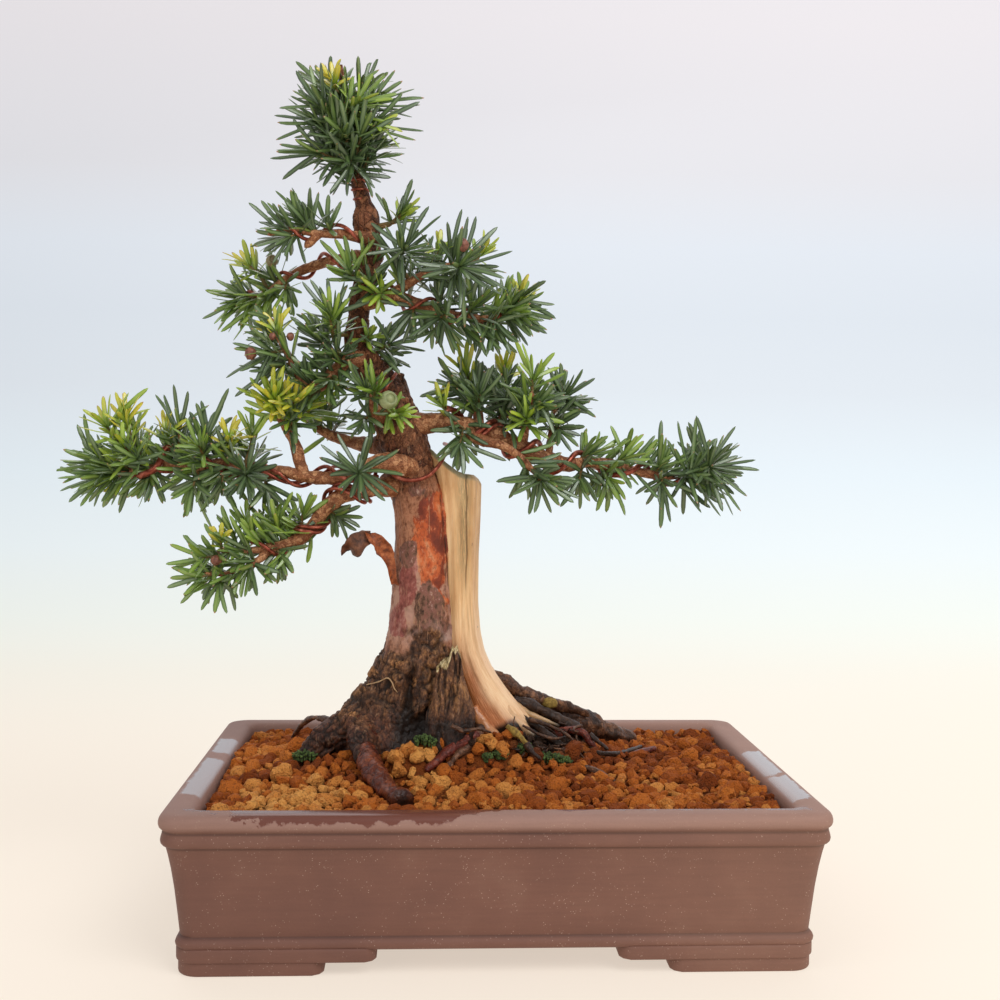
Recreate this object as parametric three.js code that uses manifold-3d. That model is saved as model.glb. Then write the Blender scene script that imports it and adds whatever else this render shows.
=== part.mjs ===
// A Japanese yew bonsai in a rectangular stoneware pot.
// Millimetres, +Z up, +X to the right and +Y away from the viewer.
// It is laid out from the centre of the pot, on the surface that its feet stand on, and moved
// at the end so that the origin lies under the middle of the whole object's width.
import * as THREE from 'three';
import { mergeVertices } from 'three/addons/utils/BufferGeometryUtils.js';
import Module from 'manifold-3d';

const wasm = await Module();
wasm.setup();
const { Manifold, Mesh } = wasm;

// Driving dimensions of the pot
const potLength = 300;
const potDepth = 220;
const potHeight = 73;
const cornerRadius = 10;
const footHeight = 6;
const tierHeight = 5;
const bodyBottom = footHeight + tierHeight;
const floorThickness = 8;
const floorTop = bodyBottom + floorThickness;
const rimWidth = 15;
const footInset = 7.7;
const footWidth = 14;
const footLength = 65;
const tierLength = 89;
const sideShare = 0.69;
const footChamfer = 4;
const tierStep = 0.8;
const buried = 1;
const tightestCorner = 4;
const drainRadius = 11;
const drainSpacing = 124;

// Driving dimensions of the soil, the fittings and the wires
const gap = 0.3;
const soilGap = 0.5;
const soilEdge = 68;
const soilMound = 17;
const soilRingHalves = [104, 78, 58, 46];
const moundCentre = -20;
const moundLength = 95;
const moundDepth = 55;
const meshSize = 30;
const meshThickness = 1;
const meshPitch = 6.2;
const meshOpening = 4.8;
const clipRadius = 0.7;
const clipSpan = 9.3;
const clipReach = 18;
const clipBend = 1.3;
const thinWire = 1;
const thickWire = 1.4;
const windingGap = 0.9;
const sleeveGap = 0.8;
const stepsPerTurn = 8;

// Routes are given as [x, z, y, radius]: x and z where the tree's mid plane shows the point
// to an eye in front of the pot, y the depth of the point behind that plane.
const eye = new THREE.Vector3(-33, -687, 228);

function seen(x, z, y = 0) {
  const onPlane = new THREE.Vector3(x, 0, z);
  return onPlane.sub(eye).multiplyScalar((y - eye.y) / -eye.y).add(eye);
}

// Solids, and the joining and cutting of solids

function solidOf(geometry) {
  const bare = geometry.clone();
  bare.deleteAttribute('normal');
  bare.deleteAttribute('uv');
  const merged = mergeVertices(bare, 1e-4);
  const vertProperties = new Float32Array(merged.attributes.position.array);
  const triVerts = new Uint32Array(merged.index.array);
  return new Manifold(new Mesh({ numProp: 3, vertProperties, triVerts }));
}

function geometryOf(solid) {
  const mesh = solid.getMesh();
  const geometry = new THREE.BufferGeometry();
  geometry.setAttribute('position', new THREE.BufferAttribute(new Float32Array(mesh.vertProperties), 3));
  geometry.setIndex(new THREE.BufferAttribute(new Uint32Array(mesh.triVerts), 1));
  geometry.computeVertexNormals();
  return geometry;
}

function join(solids) {
  return Manifold.union(solids);
}

function largestBody(solid) {
  const bodies = solid.decompose();
  return bodies.reduce((best, body) => (body.volume() > best.volume() ? body : best));
}

function cut(solid, cutters) {
  return cutters.length ? largestBody(solid.subtract(join(cutters))) : largestBody(solid);
}

// A closed skin of rings: place(ring, angle, radial) gives each point, radial 0 on the axis.
function skin(sides, steps, place) {
  const geometry = new THREE.CylinderGeometry(1, 1, 1, sides, steps);
  const position = geometry.attributes.position;
  const point = new THREE.Vector3();
  for (let i = 0; i < position.count; i += 1) {
    point.fromBufferAttribute(position, i);
    const ring = Math.round((point.y + 0.5) * steps);
    const radial = Math.round(Math.hypot(point.x, point.z));
    const placed = place(ring, Math.atan2(point.x, point.z), radial);
    position.setXYZ(i, placed.x, placed.y, placed.z);
  }
  const solid = solidOf(geometry);
  return solid.volume() < 0 ? solidOf(flipped(geometry)) : solid;
}

function flipped(geometry) {
  const turned = geometry.clone();
  const index = turned.index;
  for (let i = 0; i < index.count; i += 3) {
    const first = index.getX(i);
    index.setX(i, index.getX(i + 1));
    index.setX(i + 1, first);
  }
  return turned;
}

// A round limb along a route, its radius changing from point to point.
function limb(route, grow = 0, sides = 6, stepsPerPoint = 1) {
  const centres = route.map(([x, z, y]) => seen(x, z, y));
  const curve = new THREE.CatmullRomCurve3(centres, false, 'centripetal');
  const spans = route.length - 1;
  const steps = spans * stepsPerPoint;
  const frames = curve.computeFrenetFrames(steps, false);
  const radiusAt = (t) => {
    const span = Math.min(Math.floor(t * spans), spans - 1);
    return THREE.MathUtils.lerp(route[span][3], route[span + 1][3], t * spans - span);
  };
  return skin(sides, steps, (ring, angle, radial) => {
    const t = ring / steps;
    const end = ring === 0 ? -grow : ring === steps ? grow : 0;
    const reach = radial * (radiusAt(t) + grow);
    return curve.getPoint(t)
      .addScaledVector(curve.getTangent(t), end)
      .addScaledVector(frames.normals[ring], reach * Math.cos(angle))
      .addScaledVector(frames.binormals[ring], reach * Math.sin(angle));
  });
}

// A column of level oval rings, each [height, left, right, front, back].
function column(rings, grow = 0, sides = 20) {
  const last = rings.length - 1;
  return skin(sides, last, (ring, angle, radial) => {
    const [height, left, right, front, back] = rings[ring];
    const end = ring === 0 ? -grow : ring === last ? grow : 0;
    const halfX = radial * ((right - left) / 2 + grow);
    const halfY = radial * ((back - front) / 2 + grow);
    return new THREE.Vector3(
      (left + right) / 2 + halfX * Math.cos(angle),
      (front + back) / 2 + halfY * Math.sin(angle),
      height + end,
    );
  });
}

// A wire wound round a route. Places along it are counted in the route's points: the wire crosses
// the front of the limb at each of the crossings, and runs evenly round it between them.
function winding(route, { crossings, from, to, turn, strand, radius }, grow = 0) {
  const centres = route.map(([x, z, y]) => seen(x, z, y));
  const curve = new THREE.CatmullRomCurve3(centres, false, 'centripetal');
  const spans = route.length - 1;
  const turnsAt = (place) => {
    const last = crossings.length - 1;
    const after = crossings.findIndex((crossing) => crossing > place);
    const index = after < 0 ? last - 1 : Math.max(after - 1, 0);
    return index + (place - crossings[index]) / (crossings[index + 1] - crossings[index]);
  };
  const count = Math.ceil((turnsAt(to) - turnsAt(from)) * stepsPerTurn);
  const points = [];
  for (let i = 0; i <= count; i += 1) {
    const place = THREE.MathUtils.lerp(from, to, i / count);
    const span = Math.min(Math.floor(place), spans - 1);
    const stem = THREE.MathUtils.lerp(route[span][3], route[span + 1][3], place - span);
    const tangent = curve.getTangent(place / spans);
    const front = new THREE.Vector3(0, -1, 0).addScaledVector(tangent, tangent.y).normalize();
    const side = new THREE.Vector3().crossVectors(front, tangent);
    const angle = 2 * Math.PI * turn * turnsAt(place) + THREE.MathUtils.degToRad(strand);
    const reach = stem + radius + windingGap;
    points.push(curve.getPoint(place / spans)
      .addScaledVector(front, reach * Math.cos(angle))
      .addScaledVector(side, reach * Math.sin(angle)));
  }
  return rod(points, radius + grow, 5, count);
}

// A round rod of even radius through a list of points.
function rod(points, radius, sides, steps) {
  const curve = new THREE.CatmullRomCurve3(points, false, 'centripetal');
  const section = new THREE.Shape();
  for (let i = 0; i < sides; i += 1) {
    const angle = (2 * Math.PI * i) / sides;
    const corner = [radius * Math.cos(angle), radius * Math.sin(angle)];
    if (i === 0) section.moveTo(...corner);
    else section.lineTo(...corner);
  }
  const geometry = new THREE.ExtrudeGeometry(section, { steps, extrudePath: curve, bevelEnabled: false });
  return solidOf(geometry);
}

// A rounded lump: [x, z, y, half width, half depth, half height], placed as a route's point is.
function lump([x, z, y, halfX, halfY, halfZ], grow = 0, detail = 1) {
  const geometry = new THREE.IcosahedronGeometry(1, detail);
  geometry.scale(halfX + grow, halfY + grow, halfZ + grow);
  const centre = seen(x, z, y);
  geometry.translate(centre.x, centre.y, centre.z);
  return solidOf(geometry);
}

function block(width, depth, height, x, y, z) {
  return solidOf(new THREE.BoxGeometry(width, depth, height).translate(x, y, z));
}

// The pot, turned as rounded rectangles that keep the same distance inside its outline.

const outline = potLength / 2;
const inset = (potLength - potDepth) / 2;

function rectanglePoint(halfLength, angle) {
  const radius = Math.max(tightestCorner, cornerRadius - 0.25 * (outline - halfLength));
  const signX = Math.cos(angle) >= 0 ? 1 : -1;
  const signY = Math.sin(angle) >= 0 ? 1 : -1;
  return new THREE.Vector2(
    signX * (halfLength - radius) + radius * Math.cos(angle),
    signY * (halfLength - inset - radius) + radius * Math.sin(angle),
  );
}

function rectangular(profile, sides = 24, heightAt = null) {
  const last = profile.length - 1;
  const halfStep = Math.PI / sides;
  return skin(sides, last, (ring, angle, radial) => {
    const [half, height] = profile[ring];
    const flat = new THREE.Vector2();
    if (radial) flat.copy(rectanglePoint(half, angle + halfStep));
    const lifted = heightAt ? heightAt(flat.x, flat.y, height) : height;
    return new THREE.Vector3(flat.x, flat.y, lifted);
  });
}

// Half lengths and heights of the cavity from its floor up, then of the whole wall.
const cavity = [[122, floorTop], [127, 24], [134.6, 66]];
const wallProfile = [
  [140, bodyBottom], [143.2, 12.4], [143.2, 15.6], [141.4, 17], [147, 57.5],
  [148.9, 59.5], [148.3, 65], [outline, 67.4], [149.7, 71], [146.8, potHeight],
  [137, potHeight], [outline - rimWidth, 71], ...cavity.toReversed(),
];

// One corner bracket of a foot, its two arms running along the front and the side.
function bracket(length, width, from, height, insetBy) {
  const halfX = outline - insetBy;
  const halfY = halfX - inset;
  const sideLength = length * sideShare;
  const shape = new THREE.Shape();
  shape.moveTo(halfX - length + footChamfer, halfY);
  shape.lineTo(halfX - cornerRadius, halfY);
  shape.absarc(halfX - cornerRadius, halfY - cornerRadius, cornerRadius, Math.PI / 2, 0, true);
  shape.lineTo(halfX, halfY - sideLength + footChamfer);
  shape.lineTo(halfX - footChamfer, halfY - sideLength);
  shape.lineTo(halfX - width, halfY - sideLength);
  shape.lineTo(halfX - width, halfY - width);
  shape.lineTo(halfX - length, halfY - width);
  shape.lineTo(halfX - length, halfY - footChamfer);
  const settings = { depth: height, bevelEnabled: false, curveSegments: 3 };
  const geometry = new THREE.ExtrudeGeometry(shape, settings);
  return solidOf(geometry.translate(0, 0, from));
}

function upright(radius, x, y, from, to) {
  const geometry = new THREE.CylinderGeometry(radius, radius, to - from, 20);
  return solidOf(geometry.rotateX(Math.PI / 2).translate(x, y, (from + to) / 2));
}

const drainPlaces = [-drainSpacing / 2, drainSpacing / 2];

function makePot() {
  const shell = rectangular(wallProfile);
  const corner = join([
    bracket(footLength, footWidth, 0, footHeight + buried, footInset),
    bracket(tierLength, footWidth + 1, footHeight, tierHeight + 2 * buried, footInset - tierStep),
  ]);
  const feet = [corner, corner.mirror([1, 0, 0]), corner.mirror([0, 1, 0])];
  feet.push(feet[1].mirror([0, 1, 0]));
  const drains = drainPlaces.map((x) => upright(drainRadius, x, 0, 0, potHeight));
  return join([shell, ...feet]).subtract(join(drains));
}

function makeDrainMesh(x) {
  const middle = floorTop + gap + meshThickness / 2;
  const holes = [];
  for (let column = -1.5; column < 2; column += 1) {
    for (let row = -1.5; row < 2; row += 1) {
      const place = [x + column * meshPitch, row * meshPitch, middle];
      holes.push(block(meshOpening, meshOpening, meshThickness * 2, ...place));
    }
  }
  return block(meshSize, meshSize, meshThickness, x, 0, middle).subtract(join(holes));
}

function makeMeshClip(x) {
  const row = meshPitch / 2;
  const top = floorTop + gap + meshThickness + gap + clipRadius;
  const under = bodyBottom - gap - clipRadius - 0.1;
  const arm = [
    [clipReach, under], [13, under], [10.5, under], [clipSpan, under + clipBend], [clipSpan, 15],
    [clipSpan, top - clipBend], [clipSpan - clipBend, top],
  ];
  const points = [...arm.map(([along, height]) => [-along, height]), [0, top], ...arm.reverse()];
  const bent = points.map(([along, height]) => new THREE.Vector3(x + along, row, height));
  return rod(bent, clipRadius, 5, 26);
}

// The tree: the living trunk with the leader it grows into, and the bare stub beside it.

const trunkRings = [
  [56, -78, 0, -26, 22], [72, -84, 4, -31, 25], [84, -80, 2, -30, 25], [92, -77, -3, -27, 24],
  [100, -72.5, -7, -25, 22], [110, -67, -12, -22.5, 20], [120, -61.5, -15, -20.5, 18.5],
  [130, -56.5, -17, -19, 18], [140, -53.3, -18, -18, 17], [155, -51.2, -18, -17, 17],
  [180, -50.5, -18.5, -16.5, 16.5], [200, -51, -20.5, -16, 16], [212, -53, -23.5, -16, 16],
  [224, -56, -28, -16, 16], [236, -59.5, -32.5, -15.5, 15.5], [248, -60.5, -36, -14, 14],
  [260, -62, -42, -11.5, 11.5],
];
const barkStub = [
  [-22, 130, -13, 4], [-21, 116, -15, 8.5], [-21, 104, -17, 12], [-18, 92, -20, 16], [-14, 72, -20, 18],
];
const leftFlare = [[-58, 102, -6, 14], [-73, 90, -10, 11], [-86, 82, -13, 8], [-98, 73, -16, 4]];
const leader = [
  [-50, 246, 0, 11], [-53, 258, 0, 10.5], [-59, 268, -1, 9.5], [-66, 278, -2, 8], [-70.5, 290, -2, 6.6],
  [-69.5, 302, -2, 6], [-67, 314, -2, 6.5], [-64.5, 327, -1, 5.4], [-63.5, 338, 0, 5], [-65, 349, 0, 6],
  [-68, 361, 0, 4.2], [-72, 375, 0, 3], [-75, 392, 0, 2.4], [-77, 410, 0, 1.8], [-79.5, 428, 0, 1.1],
];
const darkStub = [[-50, 252, 2, 8], [-49.5, 262, 3, 6.5], [-50, 272, 3, 4]];
const deadwoodRings = [
  [60, -8, 26, -14, 12], [84, -12, 26, -15, 14], [92, -14, 23, -15, 14], [100, -17, 16, -14, 14],
  [110, -20, 8, -13, 13], [120, -22.5, 1, -12.5, 12.5], [130, -24.5, -3.6, -12, 12],
  [140, -25.5, -5.8, -12, 12], [155, -26, -7, -12, 12], [180, -27, -6.8, -12, 12],
  [200, -28.5, -6, -12, 12], [216, -31, -5.6, -12, 12], [228, -33, -6.5, -12, 12],
  [240, -36, -9, -11, 11],
];
// The cut top of the bare stub, seen from the front: [x, z].
const stubCut = [
  [-40, 244], [-33, 235], [-25, 227], [-19, 222.5], [-14, 221], [-9.5, 220.5], [-6.5, 218], [-4, 211],
];

const roots = {
  root_front: [
    [-66, 90, -16, 8], [-65, 80, -30, 6.6], [-62, 72, -43, 5.6], [-57, 63, -56, 5.6],
    [-51, 56, -68, 5.8], [-45, 51, -79, 6.2],
  ],
  root_right: [
    [-2, 112, 10, 5], [10, 105, 18, 6.4], [24, 98, 27, 7], [38, 93, 36, 7.2], [52, 90, 44, 6.6],
    [64, 86, 53, 5.6], [76, 83, 62, 4],
  ],
  root_arch: [
    [31, 74, 4, 2.6], [31, 81, 3, 2.6], [36, 87, 2, 2.6], [43, 88.5, 0, 2.5], [49, 86.5, -2, 2.3],
    [53, 81, -3, 2], [58, 74.5, -3, 1.8], [67, 74, 3, 1.6], [77, 76.5, 12, 1.5], [87, 79, 22, 1.3],
  ],
  root_front_red: [[-8, 85, -24, 3], [-15, 82, -30, 2.6], [-23, 76, -37, 2.4], [-33, 67, -48, 2.1]],
  root_front_dark: [[-5, 90, -20, 2.2], [-9, 82, -27, 2.1], [-16, 76, -35, 1.9], [-22, 69, -43, 1.5]],
  root_left_thin: [
    [-77, 90, 6, 2], [-84, 93.5, 14, 1.5], [-90, 95, 22, 1.4], [-96, 92, 36, 1.3], [-102, 84, 52, 1.1],
  ],
};

// Each branch is a list of routes: the branch itself, then the limbs that fork from it.
const branches = {
  branch_lower_left: [[
    [-46, 215, -5, 5.6], [-60, 213.5, -14, 4.8], [-68, 212, -18, 4.4], [-78, 209, -20, 4],
    [-86, 202, -20, 3.7],
    [-92, 194, -20, 3.4], [-98, 187.5, -21, 3.3], [-106, 184, -22, 2.8], [-116, 182, -24, 2.4],
    [-127, 180.5, -26, 1.9], [-140, 181, -28, 1.3],
  ], [
    [-112, 183, -23, 2.4], [-118, 177, -27, 2.1], [-124, 173, -29, 1.9], [-133, 169, -31, 1.6],
    [-147, 169, -32, 1.1],
  ]],
  branch_left: [[
    [-41, 223, -10, 5.6], [-51, 226, -20, 5], [-60, 226, -23, 4.6], [-70, 221, -21, 4.2],
    [-80, 218.5, -18, 3.9],
    [-90, 218.5, -16, 3.8], [-98, 219.5, -15, 3.6], [-107, 221.5, -13, 3.2], [-118, 219.5, -11, 3],
    [-131, 223, -9, 2.9], [-142, 225, -7, 2.7], [-152, 222, -5, 2.5], [-165, 225, -2, 2.3],
    [-180, 222, 1, 2], [-196, 218.5, 4, 1.4],
  ], [
    [-96.5, 219, -15, 3.4], [-99, 227, -14, 3], [-101.5, 236, -13, 2.8], [-106, 244, -12, 2.4],
    [-110, 252, -12, 1.8],
    [-112.5, 260, -12, 1.2],
  ],
  [[-66, 222, -20, 2.4], [-68, 222, -28, 1.8], [-68, 222, -35, 1.2]]],
  branch_right: [[
    [-42, 246, -2, 6.5], [-30, 247.5, -6, 5.2], [-16, 246.5, -9, 4.8], [-4, 242.5, -9, 4.8],
    [8, 238, -9, 4.6],
    [18, 233, -8, 4.4], [28, 229.5, -8, 4.3], [38, 226.5, -8, 3.8], [50, 227.5, -7, 3.1],
    [62, 226.5, -4, 2.8],
    [74, 223.5, 0, 2.4], [88, 221, 4, 2], [101, 222, 8, 1.7], [113, 225, 11, 1.2],
  ], [
    [-15, 245, -9, 3.4], [-7, 239, -16, 2.8], [4, 236, -20, 2.6], [13, 231, -22, 2.1],
    [20, 224, -24, 1.6],
    [25, 218, -26, 1.1],
  ],
  [[-7, 243, -9, 2.8], [-8, 253, -4, 2.4], [-11, 264, 3, 1.7]],
  [[3, 240, -9, 2.8], [5, 251, 0, 2.4], [6, 266, 11, 1.7]],
  [[15, 234, -8, 2.4], [17, 248, -11, 2], [20, 264, -13, 1.4]],
  [[29, 229, -8, 2], [29.5, 240, -4, 1.5], [31, 253, 3, 1.3], [36, 262, 8, 1]]],
  branch_mid_left: [[
    [-64, 280, -3, 5.4], [-75, 277, -9, 4.4], [-83, 271, -13, 3.8], [-90, 265, -16, 3.2],
    [-96, 264, -18, 2.6],
    [-100, 271, -18, 2.1], [-105, 281, -17, 1.8], [-110, 290, -16, 1.4], [-114, 300, -15, 1],
  ]],
  branch_upper_right: [[
    [-66, 309, -4, 4.6], [-57, 311, -8, 4], [-48, 310.5, -10, 3.6], [-38, 307.5, -11, 3.2],
    [-28, 304, -11, 2.8],
    [-18, 302, -10, 2.4], [-8, 301, -9, 2], [2, 301.5, -8, 1.8], [9, 306, -8, 1.5], [15, 314, -8, 1.1],
  ], [
    [-53, 311, -9, 3.2], [-46, 317, -13, 2.6], [-38, 322, -15, 2.1], [-29, 326, -16, 1.7],
    [-19, 329, -17, 1.2],
  ]],
  branch_second_left: [[
    [-63, 331, 0, 4], [-73, 331, 3, 3.2], [-81, 329.5, 6, 2.8], [-90, 327, 9, 2.7], [-98, 324, 11, 2.5],
    [-106, 319.5, 13, 2.2], [-114, 313.5, 15, 1.9], [-122, 310, 16, 1.5], [-130, 309, 17, 1.1],
  ]],
  branch_upper_left: [[
    [-63, 341, -2, 3.8], [-71, 341.5, -6, 2.7], [-80, 343, -9, 2.3], [-89, 342.5, -11, 2.1],
    [-96, 343.5, -13, 1.8],
    [-105, 344.5, -14, 1.5], [-116, 341.5, -15, 1],
  ], [[-90, 342.5, -11, 2.1], [-97, 335.5, -13, 2.1]]],
  branch_top_front: [[[-58, 250, -8, 3.6], [-62, 256, -18, 2.6], [-62.5, 264, -22, 1.8]]],
  branch_left_back: [[
    [-55, 234, 4, 5], [-68, 236, 13, 3.6], [-80, 239, 20, 2.8], [-90, 244, 24, 2.2], [-99, 251, 26, 1.5],
  ]],
};

// Training wires. Places along the limb are counted in the points of its route.
const leftCrossings = [0.4, 2.9, 7.2, 9.9, 12.35];
const lowerCrossings = [2.2, 5.15, 7.6];
const rightCrossings = [1, 2.75, 4.75, 6.9, 9.75, 11.8];
const wires = {
  wire_left_inner: {
    carrier: 'branch_left', crossings: leftCrossings, from: 2.2, to: 10.7, turn: -1, strand: 0,
    radius: thinWire,
  },
  wire_left_outer: {
    carrier: 'branch_left', crossings: leftCrossings, from: 2, to: 13.1, turn: -1, strand: 50,
    radius: thinWire,
  },
  wire_lower_left_inner: {
    carrier: 'branch_lower_left', crossings: lowerCrossings, from: 1.3, to: 6.3, turn: -1, strand: 0,
    radius: thinWire,
  },
  wire_lower_left_outer: {
    carrier: 'branch_lower_left', crossings: lowerCrossings, from: 1.3, to: 8.6, turn: -1, strand: 50,
    radius: thinWire,
  },
  wire_right_inner: {
    carrier: 'branch_right', crossings: rightCrossings, from: 1.4, to: 3.6, turn: 1, strand: -45,
    radius: thinWire,
  },
  wire_right_outer: {
    carrier: 'branch_right', crossings: rightCrossings, from: 1.4, to: 12.1, turn: 1, strand: 0,
    radius: thickWire,
  },
  wire_second_left: {
    carrier: 'branch_second_left', crossings: [2, 4.6, 6.8], from: 1.1, to: 7.6, turn: -1, strand: 0,
    radius: thinWire,
  },
  wire_upper_left: {
    carrier: 'branch_upper_left', crossings: [1.3, 4.9], from: 0.9, to: 4.9, turn: -1, strand: 0,
    radius: thinWire,
  },
  wire_upper_right: {
    carrier: 'branch_upper_right', crossings: [0.8, 3, 5, 7], from: 1.2, to: 7.2, turn: 1, strand: 0,
    radius: thinWire,
  },
};
// The wire that crosses the front of the trunk: [x, z, y].
const trunkWire = [
  [-54, 228, -13], [-52.5, 222, -18.5], [-49, 219, -20.5], [-42, 217.5, -21], [-34, 219.5, -19.5],
  [-28, 225, -17], [-24.5, 231.5, -12.5], [-23.5, 235.5, -5], [-25, 236.5, 4],
];

// Tufts of needles: lumps as [x, z, y, half width, half depth, half height].
const foliage = {
  foliage_apex: [
    [-78, 388, 0, 26, 24, 22], [-79, 410, -2, 22, 19, 16], [-79, 423, 0, 14, 12, 10.5],
    [-68, 378, 3, 17, 18, 10],
  ],
  foliage_upper_left: [[-88, 347, -11, 14, 13, 8], [-106, 341, -14, 18, 14, 10]],
  foliage_second_left: [
    [-127, 304, 16, 15, 15, 13], [-112, 313, 14, 12, 13, 12], [-121, 324, 13, 14, 13, 8],
  ],
  foliage_left_shoot: [[-115, 287, -16, 15, 15, 17], [-119, 275, -16, 13, 12, 8]],
  foliage_centre: [[-85, 300, -18, 15, 15, 17], [-88, 284, -16, 14, 14, 8], [-81, 270, -16, 8, 9, 8]],
  foliage_leader: [[-70, 322, -10, 12, 10, 12], [-57, 316, -14, 13, 11, 8]],
  foliage_leader_low: [[-50, 291, -4, 13, 10, 10], [-54, 280, -2, 11, 9, 8]],
  foliage_upper_right: [
    [-44, 337, -16, 17, 15, 15], [-18, 330, -18, 21, 17, 17], [8, 308, -9, 15, 14, 14],
    [-20, 306, -11, 21, 16, 13],
  ],
  foliage_top: [[-63, 262, -24, 13, 10, 12], [-48, 250, -20, 10, 8, 8], [-70, 250, -14, 12, 10, 10]],
  foliage_left_light: [
    [-111, 258, -12, 15, 15, 14], [-95, 255, 6, 14, 15, 13], [-84, 249, 24, 12, 12, 13],
  ],
  foliage_front: [[-68, 222, -34, 18, 9, 11]],
  foliage_left_tip: [[-187, 242, 2, 18, 17, 18], [-197, 224, 4, 22, 15, 12], [-174, 232, 0, 16, 16, 13]],
  foliage_left_middle: [
    [-152, 238, -6, 15, 16, 13], [-134, 238, -9, 14, 14, 12], [-127, 223, -25, 17, 13, 17],
    [-146, 214, -11, 16, 15, 13],
  ],
  foliage_lower_left: [
    [-147, 168, -31, 19, 15, 12], [-136, 182, -27, 17, 14, 9], [-118, 193, -19, 18, 16, 12],
    [-100, 200, -13, 15, 14, 10],
  ],
  foliage_right_low: [[26, 219, -24, 16, 13, 12], [45, 218, -15, 12, 12, 9], [60, 218, -7, 13, 14, 12]],
  foliage_right_pad: [
    [-14, 265, 2, 15, 16, 13], [4, 265, 9, 15, 16, 14], [19, 265, -9, 14, 15, 14],
    [38, 261, 7, 15, 15, 10],
  ],
  foliage_right_tip: [[116, 226, 10, 22, 20, 19], [100, 218, 7, 15, 15, 11]],
};

const mossPatches = {
  moss_left: [-95, 76, -18, 6, 5, 3],
  moss_middle: [-34, 83, -32, 6, 4, 4],
  moss_right: [35, 72, -18, 8, 6, 4.5],
};

// Soil: level at the walls of the pot, mounded towards the trunk.
function soilTop(x, y) {
  const away = ((x - moundCentre) / moundLength) ** 2 + (y / moundDepth) ** 2;
  return soilEdge + soilMound * Math.exp(-away);
}

function makeSoil(grow) {
  const top = potHeight;
  const side = cavity.map(([half, height]) => [half - soilGap + grow, Math.max(height, floorTop + gap)]);
  const edge = side.at(-1)[0];
  const rings = [...side, [edge, top], ...soilRingHalves.map((half) => [half, top])];
  return rectangular(rings, 24, (x, y, height) => (height === top ? soilTop(x, y) + grow : height));
}

// Build everything, each piece cut clear of the pieces that it meets.

const pieces = new Map();

function keep(name, solid, colour, roughness = 0.8, metalness = 0) {
  const material = new THREE.MeshStandardMaterial({ color: colour, roughness, metalness });
  const mesh = new THREE.Mesh(geometryOf(solid), material);
  mesh.name = name;
  pieces.set(name, mesh);
}

const colours = {
  clay: 0x7d5548, mesh: 0x202020, copper: 0x9a4a36, soil: 0xaf6429, bark: 0x7a4a32, deadwood: 0xc79a68,
  root: 0x5a3528, needles: 0x3f6128, moss: 0x5c7f35, seed: 0x8a8a62,
};

keep('pot', makePot(), colours.clay, 0.7);
drainPlaces.forEach((x, i) => {
  const side = i === 0 ? 'left' : 'right';
  keep(`drain_mesh_${side}`, makeDrainMesh(x), colours.mesh, 0.6);
  keep(`mesh_clip_${side}`, makeMeshClip(x), colours.copper, 0.4, 0.9);
});

function makeTrunk(grow) {
  return join([
    column(trunkRings, grow, 16), limb(barkStub, grow, 8), limb(leftFlare, grow, 8),
    limb(leader, grow, 8), limb(darkStub, grow),
  ]);
}

const trunk = makeTrunk(0);
const trunkCutter = makeTrunk(gap);
keep('trunk', trunk, colours.bark);

function makeDeadwood(grow) {
  const shape = new THREE.Shape();
  shape.moveTo(-60, 40);
  shape.lineTo(60, 40);
  shape.lineTo(60, 200);
  shape.lineTo(-4 + grow, 200);
  [...stubCut].reverse().forEach(([x, z]) => shape.lineTo(x + grow, z + grow));
  shape.lineTo(-60, 250);
  const side = new THREE.ExtrudeGeometry(shape, { depth: 60, bevelEnabled: false });
  side.rotateX(Math.PI / 2).translate(0, 30, 0);
  return column(deadwoodRings, grow, 12).intersect(solidOf(side));
}

const deadwood = cut(makeDeadwood(0), [trunkCutter]);
const deadwoodCutter = makeDeadwood(gap);
keep('deadwood', deadwood, colours.deadwood);

// Each cutter is a piece of wood, grown by the gap that its neighbours keep to it.
const woodCutters = [trunkCutter, deadwoodCutter];

const branchOf = (routes, grow = 0) => join(routes.map((route) => limb(route, grow)));

// The wires keep their own way, and the limbs' crotches are cut clear of them.
const wireCutters = [];
Object.entries(wires).forEach(([name, wire]) => {
  const [route] = branches[wire.carrier];
  const clear = [...woodCutters, ...wireCutters, limb(route)];
  keep(name, cut(winding(route, wire), clear), colours.copper, 0.35, 0.9);
  wireCutters.push(winding(route, wire, gap));
});
const trunkWirePoints = trunkWire.map(([x, z, y]) => seen(x, z, y));
const trunkWireRod = (grow) => rod(trunkWirePoints, thinWire + grow, 5, 18);
const trunkWireClear = [...woodCutters, ...wireCutters];
keep('wire_trunk', cut(trunkWireRod(0), trunkWireClear), colours.copper, 0.35, 0.9);
wireCutters.push(trunkWireRod(gap));

Object.entries(roots).forEach(([name, route]) => {
  keep(name, cut(limb(route), woodCutters), colours.root);
  woodCutters.push(limb(route, gap));
});

Object.entries(branches).forEach(([name, routes]) => {
  keep(name, cut(branchOf(routes), [...woodCutters, ...wireCutters]), colours.bark);
  woodCutters.push(branchOf(routes, gap));
});

// A sleeve round a limb and the wire wound on it, which the needles stand clear of.
function sleeve(name) {
  const [route, ...forks] = branches[name];
  const wound = Object.values(wires).filter((wire) => wire.carrier === name);
  const widened = route.map(([x, z, y, radius], place) => {
    const reach = wound.map(({ from, to, radius: half }) => {
      const covered = place >= Math.floor(from) && place <= Math.ceil(to);
      return covered ? 2 * half + windingGap + sleeveGap : 0;
    });
    return [x, z, y, (radius + Math.max(0, ...reach) + gap) / Math.cos(Math.PI / 6)];
  });
  return [limb(widened), ...forks.map((fork) => limb(fork, gap))];
}

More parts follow.
